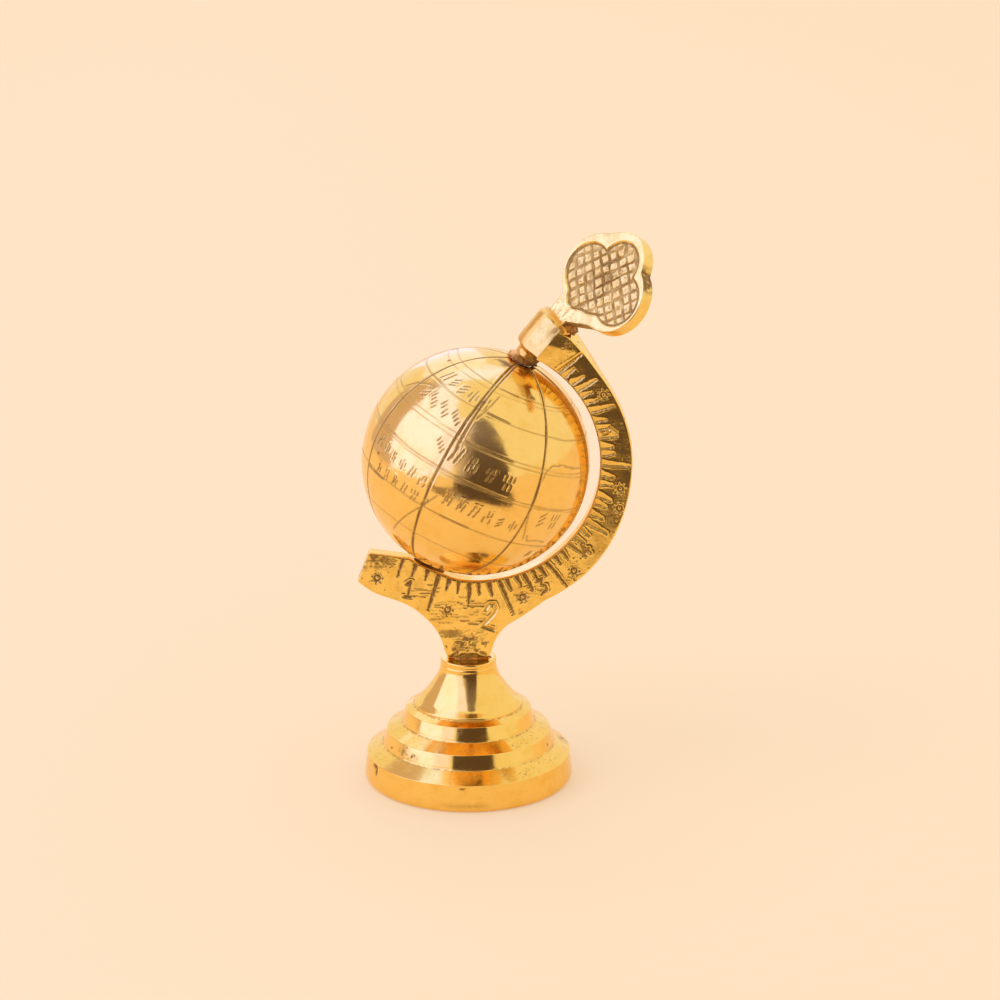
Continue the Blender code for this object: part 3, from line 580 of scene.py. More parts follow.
def armRelief(x, z):
    # all that is cut, stamped or scratched into the arm's front: marks, flowers, numerals, scratches, a
    # scribble, pits and stains
    relief = blankRelief(x.shape)
    places = np.stack((x, z, np.zeros_like(x)), axis=-1)
    drift = 0.10 * softNoise(places, 0.8, 31) + 0.05 * softNoise(places, 0.35, 32)
    for start, end, halfWidth, brown in armMarks():
        distance, passed = strokeDistance(x, z, start, end)
        step = (end - start) / np.linalg.norm(end - start)
        upper = np.where(step[0] * (z - start[1]) - step[1] * (x - start[0]) > 0.0, 1.0, -1.0)
        width = halfWidth * (1.3 - 0.7 * passed) * (1.35 - 0.35 * brown)
        chisel(relief, upper * distance + drift, width, arm["markDepth"], 0.14, brown)
    for centreX, centreZ in arm["flowers"]:
        away = np.hypot(x - centreX, z - centreZ)
        turn = np.arctan2(z - centreZ, x - centreX)
        ring = np.abs(away - 0.6 * arm["flowerRadius"]) + 0.6 * drift
        carve(relief, np.abs(ring), 0.32, 0.24, 0.15, 0.9)
        wave = 0.45 * (1.0 - np.cos(arm["petals"] * turn))
        petals = np.hypot(away - 1.15 * arm["flowerRadius"], wave) + 0.4 * drift
        carve(relief, np.abs(petals), 0.3, 0.16, 0.1, 0.85)
    for (footX, footZ), lean, height, brown, strokes in arm["numerals"]:
        turn = np.radians(lean)
        u = (x - footX) * np.cos(turn) + (z - footZ) * np.sin(turn)
        w = -(x - footX) * np.sin(turn) + (z - footZ) * np.cos(turn)
        for stroke in np.array(strokes):
            start, end = (stroke.reshape(2, 2) - (0.4, 0.0)) * (0.62 * height, height)
            distance, _ = strokeDistance(u, w, start, end)
            carve(relief, np.abs(distance + 0.5 * drift), 0.3 + 0.03 * height, 0.26, 0.3, brown)
    rng = np.random.default_rng(41)
    for patch, count, spanX, spanZ, spread in arm["scratchPatches"]:
        for _ in range(count):
            middle = np.array(patch) + rng.uniform(-1.0, 1.0, 2) * (spanX, spanZ)
            half = rng.uniform(0.3, 1.3)
            angle = np.radians(rng.normal(0.0, spread))
            step = half * np.array((np.cos(angle), np.sin(angle)))
            distance, _ = strokeDistance(x, z, middle - step, middle + step)
            halfWidth, depth = rng.uniform(0.09, 0.16), rng.uniform(0.03, 0.08)
            carve(relief, distance, halfWidth, depth, 0.2, rng.uniform(0.25, 0.7))
    # a scribble of loops over the foot of the stem
    centreX, centreZ = arm["scribble"]
    centre = np.hypot(0.75 * (x - centreX), 1.1 * (z - centreZ))
    loops = centre + 0.85 * softNoise(places, 0.9, 55)
    gap = np.abs((loops / 0.5 + 0.5) % 1.0 - 0.5) * 0.5
    inside = 1.0 - smoothStep(centre + 0.4 * softNoise(places, 1.1, 56), 1.5, 2.3)
    carve(relief, gap, 0.17, 0.1 * inside, 0.2, 0.95 * inside)
    # pits, thickest over the foot of the stem; a rubbed patch on its left; brown along the tail's top;
    # and faint blotches
    crust = softNoise(places, 0.75, 51) + 0.6 * softNoise(places, 0.35, 52)
    stem = (1.0 - smoothStep(z, 29.6, 33.4)) * (1.0 - smoothStep(np.abs(x + 0.2), 3.4, 5.2))
    pits = smoothStep(crust + stem, 1.0, 1.5)
    layOn(relief, 0.07 * pits, 0.0, 0.8 * pits)
    rubbedX, rubbedZ = arm["rubbedPatch"]
    rubbed = np.hypot((x - rubbedX) / 1.9, (z - rubbedZ) / 0.85)
    rubbed += 0.3 * softNoise(places * np.array((0.5, 1.6, 1.0)), 0.8, 57)
    darken(relief, 0.7 * (1.0 - smoothStep(rubbed, 0.5, 1.2)))
    tail = (1.0 - smoothStep(x, -17.5, -14.0)) * smoothStep(z, 45.4, 47.2)
    darken(relief, 0.85 * tail * smoothStep(crust, -0.4, 0.7))
    blotch = softNoise(places, 2.4, 53) + 0.5 * softNoise(places, 0.9, 54)
    darken(relief, 0.25 * smoothStep(blotch, 0.8, 1.4))
    return relief


def shoulderLift(x, z, faceHeight):
    # beyond the last long mark the face climbs as a ramp to the barrel, cut off towards the flat top by
    # a shelf: the smaller of two planes, never above the barrel's filed front, less the face itself
    across = (x - barrelTop[0]) * pinRight[0] + (z - barrelTop[2]) * pinRight[2]
    along = (x - barrelTop[0]) * pinUp[0] + (z - barrelTop[2]) * pinUp[2]
    near = (along > -12.0) & (across > -5.0) & (across < 12.0)
    footAcross, footAlong = arm["rampFoot"]
    slope = arm["rampSlope"]
    past = (footAcross + slope * (along - footAlong) - across) / np.hypot(1.0, slope)
    ramp = arm["rampHeight"] + arm["rampRise"] * past
    cutOff = shelf["height"] - shelf["fallAcross"] * across - shelf["fallAlong"] * (along - shelf["from"])
    height = -softMax(-ramp, -cutOff, 0.08)
    flatTurn = np.radians(barrel["flatTurn"])
    filed = (barrel["flat"] + np.sin(flatTurn) * across) / np.cos(flatTurn) - 0.1
    height = np.where(across < 1.0, np.minimum(height, np.clip(filed, 0.5, None)), height)
    lift = (height - faceHeight) * smoothStep(past, 0.0, 0.35)
    return np.where(near, lift, 0.0)


def cappedEnds(points, stainAndShade, margin=0.12):
    # a narrow chamfer at both ends: the end ring drawn in by the margin, and a twin of the ring
    # beside it a margin along, so that the flat ends stay flat
    rings, endStainAndShade = [], []
    for end, neighbour in ((0, 1), (-1, -2)):
        ring, beside = points[end], points[neighbour]
        middle = ring.mean(axis=0)
        step = beside.mean(axis=0) - middle
        arms = ring - middle
        length = np.linalg.norm(arms, axis=1)[:, None]
        drawnIn = middle + arms * (1.0 - margin / length)
        pushed = ring + (beside - ring) * (margin / np.linalg.norm(step))
        rings.append([drawnIn, pushed] if end == 0 else [pushed, drawnIn])
        endStainAndShade.append([stainAndShade[end], stainAndShade[end]])
    points = np.concatenate((rings[0], points[1:-1], rings[1]))
    return points, np.concatenate((endStainAndShade[0], stainAndShade[1:-1], endStainAndShade[1]))


def makeArm():
    # a cross-section with rounded corners carried between the two edges: front, outer side, back, inner
    # side; up towards the barrel it thickens, and its outer back corner is bevelled. Its front carries
    # the relief
    inner, outer = armEdges()
    across = outer - inner
    width = np.linalg.norm(across, axis=1)[:, None]
    across = across / width
    angle = np.degrees(np.arctan2(inner[:, 1] - ballCentre[2], inner[:, 0] - ballCentre[0]))[:, None]
    thicker = (arm["topHalfThickness"] - arm["halfThickness"]) * np.clip((angle - 22.0) / 39.5, 0.0, 1.0)
    half = arm["halfThickness"] + thicker
    back = arm["bevel"] * np.clip((angle - 35.0) / 26.5, 0.0, 1.0)
    edge = arm["edge"]
    quarter = np.linspace(0.0, np.pi / 2, 5)[None, 1:-1]
    front = np.linspace(0.0, 1.0, arm["frontRows"])[None, :]
    rear = np.linspace(0.0, 1.0, arm["backRows"])[None, :]
    side = np.linspace(0.0, 1.0, arm["sideRows"])[None, :]
    span = width - back - 2 * edge
    flat = np.ones_like(width)
    # one line for each stretch of the cross-section: how far across, and then how deep
    away = np.hstack((
        edge + span * front,
        width - back - edge + edge * np.sin(quarter),
        width - back * (1.0 - side),
        width - edge + edge * np.cos(quarter),
        edge + (width - 2 * edge) * (1.0 - rear),
        edge - edge * np.sin(quarter) * flat,
        0.0 * side * flat,
        edge - edge * np.cos(quarter) * flat,
    ))
    depth = np.hstack((
        -half * np.ones_like(front),
        -half + edge * (1.0 - np.cos(quarter)) * flat,
        (-half + edge) + (2 * half - 2 * edge) * side,
        half - edge + edge * np.sin(quarter) * flat,
        half * np.ones_like(rear),
        half - edge + edge * np.cos(quarter) * flat,
        (half - edge) - (2 * half - 2 * edge) * side,
        -half + edge - edge * np.sin(quarter) * flat,
    ))
    x = inner[:, :1] + across[:, :1] * away
    z = inner[:, 1:] + across[:, 1:] * away
    rows = arm["frontRows"]
    relief = armRelief(x[:, :rows], z[:, :rows])
    inset = np.minimum(front, 1.0 - front) * span  # the relief fades out at the very edges
    fade = smoothStep(inset, 0.0, 0.12)
    height = reliefHeight(relief) * fade
    lift = shoulderLift(x[:, :rows], z[:, :rows], half * np.ones_like(front))
    height += lift
    rim = 3 + arm["sideRows"]
    depth[:, rows:rows + rim] -= lift[:, -1:] * np.linspace(1.0, 0.0, rim) ** 1.5
    places = np.stack((x, depth, z), axis=-1)
    wavy = 0.03 * softNoise(places, 5.0, 61) + 0.004 * softNoise(places, 1.4, 62)
    depth[:, :rows] -= height + wavy[:, :rows] * fade
    stainAndShade = np.zeros_like(x)
    stainAndShade[:, :rows] = relief["stainAndShade"]
    rough = softNoise(places, 1.6, 63) + 0.5 * softNoise(places, 0.5, 64)
    stainAndShade[:, rows:] = 0.7 * smoothStep(rough[:, rows:], 0.75, 1.3)
    upperInside = smoothStep(angle, -20.0, 10.0) * flat  # the side towards the ball is browner on its upper part
    stainAndShade[:, -arm["sideRows"] - 6:] += 0.35 * upperInside
    points = np.stack((x, depth, z), axis=-1)
    points, stainAndShade = cappedEnds(points, stainAndShade)
    return surface("meridianArm", points, True, True, {"stainAndShade": stainAndShade})


# the clover finial

clover = {
    "turn": 54.7, "middle": (4.7, 12.25), "thickness": 2.95,
    # lobes: middle, radius, and how softly each runs into those before it
    "lobes": [(0.1, 12.5, 7.55, 0.3), (4.6, 17.1, 6.8, 1.9), (9.4, 12.5, 7.55, 0.3), (2.8, 8.0, 5.2, 0.6)],
    # the sunken field's lobes, inside those of the outline
    "fieldLobes": [(-1.2, 12.0, 5.3, 0.2), (4.8, 17.2, 4.9, 0.25), (10.4, 12.3, 5.3, 0.25),
                   (4.4, 11.6, 5.9, 0.4), (1.6, 6.6, 2.3, 1.2)],
    # the stem: its sides and top, the line its right side takes into the head, and its flat foot
    "stemLeft": -1.95, "stemRight": 3.4, "stemReach": 12.0, "stemTop": 11.0,
    "stemRightFoot": (3.6, 1.25), "stemRightSlope": 0.59, "blend": 0.7, "stemBottom": -0.25,
    "fieldDepth": 0.30, "fieldWall": 0.48, "edge": 0.28,
    "hatchAngles": (-33.0, 60.0), "hatchPitch": 2.12, "hatchHalfWidth": 0.5, "hatchDepth": 0.30,
    "columns": 470, "fieldRows": 62, "rimRows": 14, "sideRows": 10, "backRows": 22,
}


def cloverReach(angles, lobes, withStem):
    # distance from the head's middle to an outline, found by halving along each ray. A point is inside
    # when the largest of its depths in the lobes, and in the stem where asked, is above nought
    middle = np.array(clover["middle"])
    footU, footW = clover["stemRightFoot"]
    slope = clover["stemRightSlope"]
    low, high = np.zeros_like(angles), np.full_like(angles, 20.0)
    for _ in range(30):
        reach = 0.5 * (low + high)
        u = middle[0] + reach * np.cos(angles)
        w = middle[1] + reach * np.sin(angles)
        inside = np.full_like(angles, -99.0)
        for lobeU, lobeW, radius, join in lobes:
            inside = softMax(inside, radius - np.hypot(u - lobeU, w - lobeW), join)
        if withStem:
            slanting = ((w - footW) - slope * (u - footU)) / np.hypot(1.0, slope)
            sides = np.minimum(u - clover["stemLeft"], np.maximum(slanting, clover["stemRight"] - u))
            ends = np.minimum(clover["stemTop"] - w, clover["stemReach"] - u)
            inside = softMax(inside, np.minimum(sides, ends), clover["blend"])
            inside = np.minimum(inside, w - clover["stemBottom"])
        low, high = np.where(inside > 0.0, reach, low), np.where(inside > 0.0, high, reach)
    return 0.5 * (low + high)


def hatchRelief(u, w, field):
    # two families of hand-cut grooves that cross the sunken field, browner towards its middle
    relief = blankRelief(u.shape)
    places = np.stack((u, w, np.zeros_like(u)), axis=-1)
    drift = 0.34 * softNoise(places, 3.2, 81) + 0.12 * softNoise(places, 0.9, 82)
    force = 0.85 + 0.3 * softNoise(places, 1.7, 83)
    middle = np.exp(-((u - 3.6) / 5.5) ** 2 - ((w - 14.2) / 4.6) ** 2)
    patina = np.clip(0.6 + 0.34 * middle + 0.3 * softNoise(places, 1.5, 87), 0.35, 0.97)
    for degrees in clover["hatchAngles"]:
        turn = np.radians(degrees)
        across = drift - (u - clover["middle"][0]) * np.sin(turn) + (w - clover["middle"][1]) * np.cos(turn)
        gap = np.abs((across / clover["hatchPitch"] + 0.5) % 1.0 - 0.5) * clover["hatchPitch"]
        width = clover["hatchHalfWidth"] * (0.86 + 0.5 * softNoise(places, 1.3, 85 + int(degrees > 0.0)))
        carve(relief, gap, width, clover["hatchDepth"] * force * field, 0.15, patina * field)
    grain = softNoise(places, 0.5, 84)
    dirt = smoothStep(softNoise(places, 1.1, 89) + 1.1 * middle - 0.5, 0.3, 1.1)
    darken(relief, 0.75 * dirt * field)
    relief["sunk"] += 0.05 * smoothStep(grain, 0.2, 0.9) * field
    darken(relief, field * (0.16 + 0.4 * smoothStep(grain, 0.1, 0.9)))
    return relief


def makeClover():
    # head drawn in rings about its middle: the field, the rim, the side and the back, each ring a
    # share of the outline's reach
    angles = np.linspace(0.0, 2.0 * np.pi, clover["columns"], endpoint=False)
    outline = cloverReach(angles, clover["lobes"], True)
    fieldEdge = cloverReach(angles, clover["fieldLobes"], False)
    middleU, middleW = clover["middle"]
    half, edge = clover["thickness"] / 2, clover["edge"]
    shares = np.linspace(0.02, 1.0, clover["fieldRows"])[:, None]
    rimShares = np.linspace(0.0, 1.0, clover["rimRows"])[:, None]
    quarter = np.linspace(0.0, np.pi / 2, 5)[1:-1, None]
    sides = np.linspace(0.0, 1.0, clover["sideRows"])[:, None]
    backShares = np.linspace(1.0, 0.02, clover["backRows"])[:, None]
    wallWidth = clover["fieldWall"]
    wall = np.linspace(0.0, wallWidth, 5)[1:-1, None]
    reach = np.vstack((
        fieldEdge * shares,
        fieldEdge + wall,
        fieldEdge + wallWidth + (outline - edge - fieldEdge - wallWidth) * rimShares,
        outline - edge + edge * np.sin(quarter),
        outline + 0.0 * sides,
        outline - edge + edge * np.cos(quarter),
        (outline - edge) * backShares,
    ))
    fieldRows = clover["fieldRows"]
    frontRows = fieldRows + len(wall) + clover["rimRows"]
    y = np.vstack((
        -half + clover["fieldDepth"] + 0.0 * (shares + outline),
        -half + clover["fieldDepth"] * (1.0 - smoothStep(wall, 0.0, wallWidth)) + 0.0 * outline,
        -half + 0.0 * (rimShares + outline),
        -half + edge * (1.0 - np.cos(quarter)) + 0.0 * outline,
        -half + edge + (2 * half - 2 * edge) * sides + 0.0 * outline,
        half - edge + edge * np.sin(quarter) + 0.0 * outline,
        half + 0.0 * (backShares + outline),
    ))
    u = middleU + reach * np.cos(angles)
    w = middleW + reach * np.sin(angles)
    inField = np.zeros_like(u)
    inField[:fieldRows] = smoothStep(fieldEdge * (1.0 - shares), 0.0, 0.12)
    hatch = hatchRelief(u, w, inField)
    lean = 0.035 * (u - middleU)  # the face is filed a little out of square
    gutter = np.abs(reach - fieldEdge + 0.15)  # the groove along the field's edge
    gutter[frontRows:] = 9.0
    ragged = 0.1 * softNoise(np.stack((u, w, 0.0 * u), axis=-1), 0.7, 88)
    carve(hatch, np.abs(gutter + ragged), 0.36, 0.24, 0.0, 0.85)
    places = np.stack((u, y, w), axis=-1)
    wavy = 0.04 * softNoise(places, 2.4, 91) + 0.018 * softNoise(places, 0.9, 92)
    onFront = np.zeros_like(u)
    onFront[:frontRows] = 1.0
    y = y - (reliefHeight(hatch) + wavy - lean) * onFront
    # the rough, browned foot of the stem, the side under the head, browned and darkened with painted shade,
    # and the notch beside the top lobe
    low = 1.0 - smoothStep(w, 0.4, 5.2)
    rough = softNoise(places, 0.9, 93) + 0.6 * softNoise(places, 0.4, 94)
    stainAndShade = hatch["stainAndShade"] * onFront
    stainAndShade = np.maximum(stainAndShade, low * smoothStep(rough, 0.2, 1.2) * 0.5)
    # the side under the head: brown patina deepened with painted shade
    under = smoothStep(u, -1.0, 1.5) * (1.0 - smoothStep(u, 8.5, 11.0)) * (1.0 - smoothStep(w, 5.0, 7.0))
    stainAndShade = np.maximum(stainAndShade, (1.0 - onFront) * under * (0.75 + 0.25 * smoothStep(rough, -0.5, 0.5)))
    notch = np.hypot(u - 12.6, w - 19.4) + 0.6 * rough
    scored = smoothStep(softNoise(places * np.array((1.0, 1.0, 3.4)), 0.9, 95), -0.7, 0.1)
    stainAndShade = np.maximum(stainAndShade, (1.0 - onFront) * (1.0 - smoothStep(notch, 1.6, 3.6)) * scored)
    nick = np.hypot((u + 3.0) - 0.9 * (w - 19.1), 0.35 * (w - 19.1))  # a dark nick in the top left edge
    nearEdge = smoothStep(reach, outline - 0.9, outline - 0.3)
    stainAndShade = np.maximum(stainAndShade, (1.0 - smoothStep(nick, 0.2, 0.45)) * nearEdge)
    stainAndShade = np.maximum(stainAndShade, (1.0 - onFront) * 0.6 * smoothStep(rough, 0.75, 1.3))
    y = y + low * 0.12 * rough * onFront
    turn = np.radians(clover["turn"])
    right = np.cos(turn) * pinRight - np.sin(turn) * backwards
    forward = np.sin(turn) * pinRight + np.cos(turn) * backwards
    points = inFrame(barrelTop, right, forward, pinUp, np.stack((u, y, w), axis=-1))
    return surface("cloverFinial", points, True, True, {"stainAndShade": stainAndShade})


# the turned foot

foot = {
    # radius, height and rounding of each corner, from the middle of the underside up to the neck
    "corners": [
        (0.05, 0.0, 0.0), (20.95, 0.0, 0.5), (21.6, 0.75, 0.8), (21.5, 2.3, 0.5), (21.1, 5.9, 0.04),
        (17.8, 7.85, 0.08), (16.95, 10.85, 0.06), (13.8, 12.45, 0.08), (12.95, 15.4, 0.06),
        (11.25, 16.2, 0.08), (11.2, 16.65, 0.12), (10.0, 17.65, 0.4), (8.2, 19.8, 1.4), (6.6, 22.2, 1.6),
        (5.9, 24.0, 1.2), (5.8, 25.2, 0.1), (5.75, 26.4, 0.3), (0.05, 26.4, 0.0),
    ],
    "spacing": 0.2, "columns": 392,
    # shallow turned lines: height and depth
    "turnedLines": [(25.75, 0.08), (25.25, 0.06), (12.75, 0.03), (8.1, 0.03), (1.95, 0.045), (1.3, 0.05)],
    "hollowCorners": (7.85, 12.45, 16.2),
    # speckled treads: heights where each begins and ends, softly
    "treads": [(5.9, 6.3, 7.3, 7.7), (10.95, 11.2, 12.1, 12.4)],
    # height of a dark reflection painted low on the front
    "paintedReflectionHeight": 1.55,
    # knocks: degrees from the front towards +X, height, width in mm along and up, depth
    "knocks": [(-65.5, 5.3, 1.2, 0.55, 0.2), (-63.5, 4.5, 0.5, 1.35, 0.2), (-65.0, 8.9, 0.4, 0.3, 0.1),
               (-3.0, 5.3, 0.8, 0.18, 0.06), (150.0, 4.0, 0.8, 0.5, 0.14), (70.0, 9.0, 0.5, 0.4, 0.1),
               (120.0, 12.9, 0.6, 0.4, 0.1)],
    # patches of fine pits: degrees from the front, height, width along and up
    "pitPatches": [(-50.0, 9.6, 2.2, 1.4), (-41.0, 9.0, 1.8, 1.0), (100.0, 6.5, 2.5, 0.9),
                   (-150.0, 10.5, 2.0, 1.0)],
}


def makeFoot():
    # the rounded profile turned about the upright axis, with fine turning rings, knocks and pits
    profile = roundedProfile(foot["corners"], foot["spacing"])
    # the flat underside and top keep only the rows at their middles and edges
    level = profile[:, 1]
    flat = np.isclose(level, level[0]) | np.isclose(level, level[-1])
    within = flat[:-2] & flat[1:-1] & flat[2:]
    profile = profile[np.concatenate(([True], ~within, [True]))]
    columns = foot["columns"]
    turn = np.linspace(0.0, 2.0 * np.pi, columns, endpoint=False)[None, :]
    radius, height = profile[:, :1], profile[:, 1:]
    around = np.stack((radius * np.cos(turn), radius * np.sin(turn), height + 0.0 * turn), axis=-1)
    side = smoothStep(height, 0.4, 1.0) * smoothStep(radius, 4.0, 5.4)
    bumps = side * 0.02 * softNoise(around, 6.0, 101)
    for level, depth in foot["turnedLines"]:
        bumps = bumps - side * depth * np.exp(-((height - level) / 0.13) ** 2)
    stainAndShade = np.zeros_like(bumps)
    degrees = np.degrees(turn) + 90.0  # from the front, -Y, towards +X
    perDegree = np.radians(1.0) * radius
    grain = softNoise(around, 0.5, 102) + 0.5 * softNoise(around, 0.25, 103)
    for place, level, wide, tall, depth in foot["knocks"]:
        along = turnFrom(degrees, place) * perDegree
        away = np.hypot(along / wide, (height - level) / tall) + 0.2 * grain
        dent = 1.0 - smoothStep(away, 0.4, 1.1)
        bumps = bumps - side * depth * dent
        stainAndShade = np.maximum(stainAndShade, dent * 0.95)
    for place, level, wide, tall in foot["pitPatches"]:
        along = turnFrom(degrees, place) * perDegree
        away = np.hypot(along / wide, (height - level) / tall)
        patch = smoothStep(grain + 1.3 * (1.0 - away), 0.6, 1.4)
        bumps = bumps - side * 0.005 * patch
        stainAndShade = np.maximum(stainAndShade, 0.18 * (1.0 - smoothStep(away, 0.6, 1.3)) + 0.7 * patch)
    along = turnFrom(degrees, 0.0) * perDegree  # a dark reflection painted low on the front
    paintedDarkReflection = np.exp(-((height - foot["paintedReflectionHeight"]) / 0.5) ** 2 - ((along + 0.4) / 4.6) ** 4)
    stainAndShade = np.maximum(stainAndShade, paintedDarkReflection * (0.3 + 0.12 * grain))
    for level in foot["hollowCorners"]:  # brown gathers there
        corner = np.exp(-((height - level) / 0.16) ** 2)
        stainAndShade = np.maximum(stainAndShade, 0.5 * corner * smoothStep(grain, -0.6, 0.6))
    slopes = sum(smoothStep(height, start, full) * (1.0 - smoothStep(height, fading, end))
                 for start, full, fading, end in foot["treads"])
    stainAndShade = np.maximum(stainAndShade, 0.22 * slopes * smoothStep(grain, 0.3, 1.0))
    # fine speckle on the treads, thickest to the right of the front
    speckle = softNoise(around, 0.26, 104) + 0.5 * softNoise(around, 1.6, 105)
    right = 0.06 + 0.94 * np.exp(-(turnFrom(degrees, 38.0) / 40.0) ** 2)
    stainAndShade = np.maximum(stainAndShade, 0.75 * slopes * right * smoothStep(speckle, 0.5, 0.95))
    x, _, z = np.eye(3)
    return revolve("steppedFoot", profile, np.zeros(3), x, z, columns, bumps, {"stainAndShade": stainAndShade})


# lumps of braze where the pieces are held together

lumps = {
    # place, right and up; radii along right and across; height; depth below; noise; and how much painted
    # shade browns each towards the right, or all over when below nought
    "neckBraze": {
        "place": np.array((0.1, 0.0, 26.35)), "right": np.eye(3)[0], "up": np.eye(3)[2],
        "radii": (4.6, 2.2), "height": 0.45, "thick": 0.6, "seed": 111, "lean": 0.0, "slot": "arm_brass"},
    "stemBraze": {
        "place": barrelTop + 0.55 * pinUp + 1.9 * pinRight - 0.7 * backwards, "right": pinRight, "up": pinUp,
        "radii": (2.7, 2.4), "height": 0.9, "thick": 0.9, "seed": 121, "lean": 0.3, "slot": "clover_brass"},
    "upperPivot": {
        "place": ballCentre + spinAxis * (ball["radius"] + 0.4), "right": ballRight, "up": spinAxis,
        "radii": (2.9, 2.7), "height": 1.5, "thick": 0.28, "seed": 141, "lean": 0.55, "slot": "arm_brass"},
    "lowerPivot": {
        "place": ballCentre - spinAxis * (ball["radius"] + 1.34) - 0.35 * ballRight, "right": ballRight,
        "up": spinAxis,
        "radii": (3.9, 1.5), "height": 0.45, "thick": 0.6, "seed": 131, "lean": -0.5, "slot": "arm_brass"},
}


def makeLump(name, lump):
    # a dome that falls away from its middle, its edge pushed in and out by noise, closed underneath
    seed = lump["seed"]
    turn = np.linspace(0.0, 2.0 * np.pi, 96, endpoint=False)[None, :]
    share = np.concatenate((np.linspace(0.03, 1.0, 12), np.linspace(1.0, 0.03, 26)))[:, None]
    top = np.concatenate((np.zeros(12), np.ones(26)))[:, None]
    local = np.stack((np.cos(turn) * share, np.sin(turn) * share, top + 0.0 * turn), axis=-1)
    rough = 1.0 + 0.16 * softNoise(local * 2.2, 1.0, seed) + 0.08 * softNoise(local * 6.0, 1.0, seed + 1)
    height = lump["height"] + 0.25 * softNoise(local * 4.0, 1.0, seed + 2)
    rise = np.sqrt(np.clip(1.0 - share ** 2, 0.0, 1.0)) * top * height - lump["thick"] * (1.0 - top)
    spread = local[..., :2] * lump["radii"] * rough[..., None]
    points = np.concatenate((spread, rise[..., None]), axis=-1)
    stainAndShade = 0.5 + 0.5 * softNoise(local * 5.0, 1.0, seed + 3)
    # painted shade: browner towards the right, or browner all over when the lean is below nought
    stainAndShade = stainAndShade + lump["lean"] * local[..., 0] if lump["lean"] > 0.0 else stainAndShade - lump["lean"]
    forward = np.cross(lump["up"], lump["right"])
    points = inFrame(lump["place"], lump["right"], forward, lump["up"], points)
    return surface(name, points, True, True, {"stainAndShade": np.clip(stainAndShade, 0.0, 1.0)})


# finishes

brownDark = (0.085, 0.034, 0.005, 1.0)


def shaderGroup(name, inputs, outputs):
    # an empty node group with named inputs as (name, kind, value) and outputs as (name, kind)
    group = bpy.data.node_groups.new(name, "ShaderNodeTree")
    for label, kind, value in inputs:
        socket = group.interface.new_socket(label, in_out="INPUT", socket_type="NodeSocket" + kind)
        if value is not None:
            socket.default_value = value
    for label, kind in outputs:
        group.interface.new_socket(label, in_out="OUTPUT", socket_type="NodeSocket" + kind)
    return group, group.nodes.new("NodeGroupInput"), group.nodes.new("NodeGroupOutput")


def feed(tree, socket, value):
    # another node's output is linked, and anything else becomes the socket's own value
    if isinstance(value, bpy.types.NodeSocket):
        tree.links.new(value, socket)
    else:
        socket.default_value = value


def mathNode(tree, operation, first, second=0.0, clamp=False):
    node = tree.nodes.new("ShaderNodeMath")
    node.operation = operation
    node.use_clamp = clamp
    feed(tree, node.inputs[0], first)
    feed(tree, node.inputs[1], second)
    return node.outputs[0]


def times(tree, first, second):
    return mathNode(tree, "MULTIPLY", first, second)


def plus(tree, first, second, clamp=False):
    return mathNode(tree, "ADD", first, second, clamp)


def mixNode(tree, amount, first, second):
    # from the first colour to the second by the amount
    node = tree.nodes.new("ShaderNodeMix")
    node.data_type = "RGBA"
    for label, value in (("Factor", amount), ("A", first), ("B", second)):
        feed(tree, node.inputs[label], value)
    return node.outputs["Result"]


def attributeNode(tree, layer):
    node = tree.nodes.new("ShaderNodeAttribute")
    node.attribute_name = layer
    return node.outputs["Fac"]


def noiseNode(tree, vector, scale, detail=2.0, roughness=0.5):
    node = tree.nodes.new("ShaderNodeTexNoise")
    for label, value in (("Vector", vector), ("Scale", scale), ("Detail", detail), ("Roughness", roughness)):
        feed(tree, node.inputs[label], value)
    return node.outputs["Fac"]


def rangeNode(tree, value, low, high, toLow=0.0, toHigh=1.0):
    # the value's range from low to high, eased at both ends, becomes toLow to toHigh
    node = tree.nodes.new("ShaderNodeMapRange")
    node.interpolation_type = "SMOOTHSTEP"
    for label, number in (("From Min", low), ("From Max", high), ("To Min", toLow), ("To Max", toHigh)):
        node.inputs[label].default_value = number
    tree.links.new(value, node.inputs["Value"])
    return node.outputs["Result"]


def makeStainAndShadeGroup():
    # brown oxide and painted shade: the engraving's own brown and the painted shade, broken up by noise,
    # joined with fine specks
    group, source, out = shaderGroup(
        "brownOxideAndShade",
        (("Vector", "Vector", None), ("Stain And Shade", "Float", 0.0), ("Grain Scale", "Float", 900.0),
         ("Speck Amount", "Float", 0.3)),
        (("Mask", "Float"), ("Light", "Float")))
    vector = source.outputs["Vector"]
    grain = noiseNode(group, vector, source.outputs["Grain Scale"], 3.0, 0.6)
    broken = times(group, source.outputs["Stain And Shade"], rangeNode(group, grain, 0.25, 0.6, 0.55, 1.15))
    speck = rangeNode(group, noiseNode(group, vector, 2600.0), 0.66, 0.76)
    cloud = rangeNode(group, noiseNode(group, vector, 140.0), 0.42, 0.7)
    specks = times(group, times(group, speck, cloud), source.outputs["Speck Amount"])
    group.links.new(mathNode(group, "MAXIMUM", broken, specks, clamp=True), out.inputs["Mask"])
    group.links.new(grain, out.inputs["Light"])
    return group


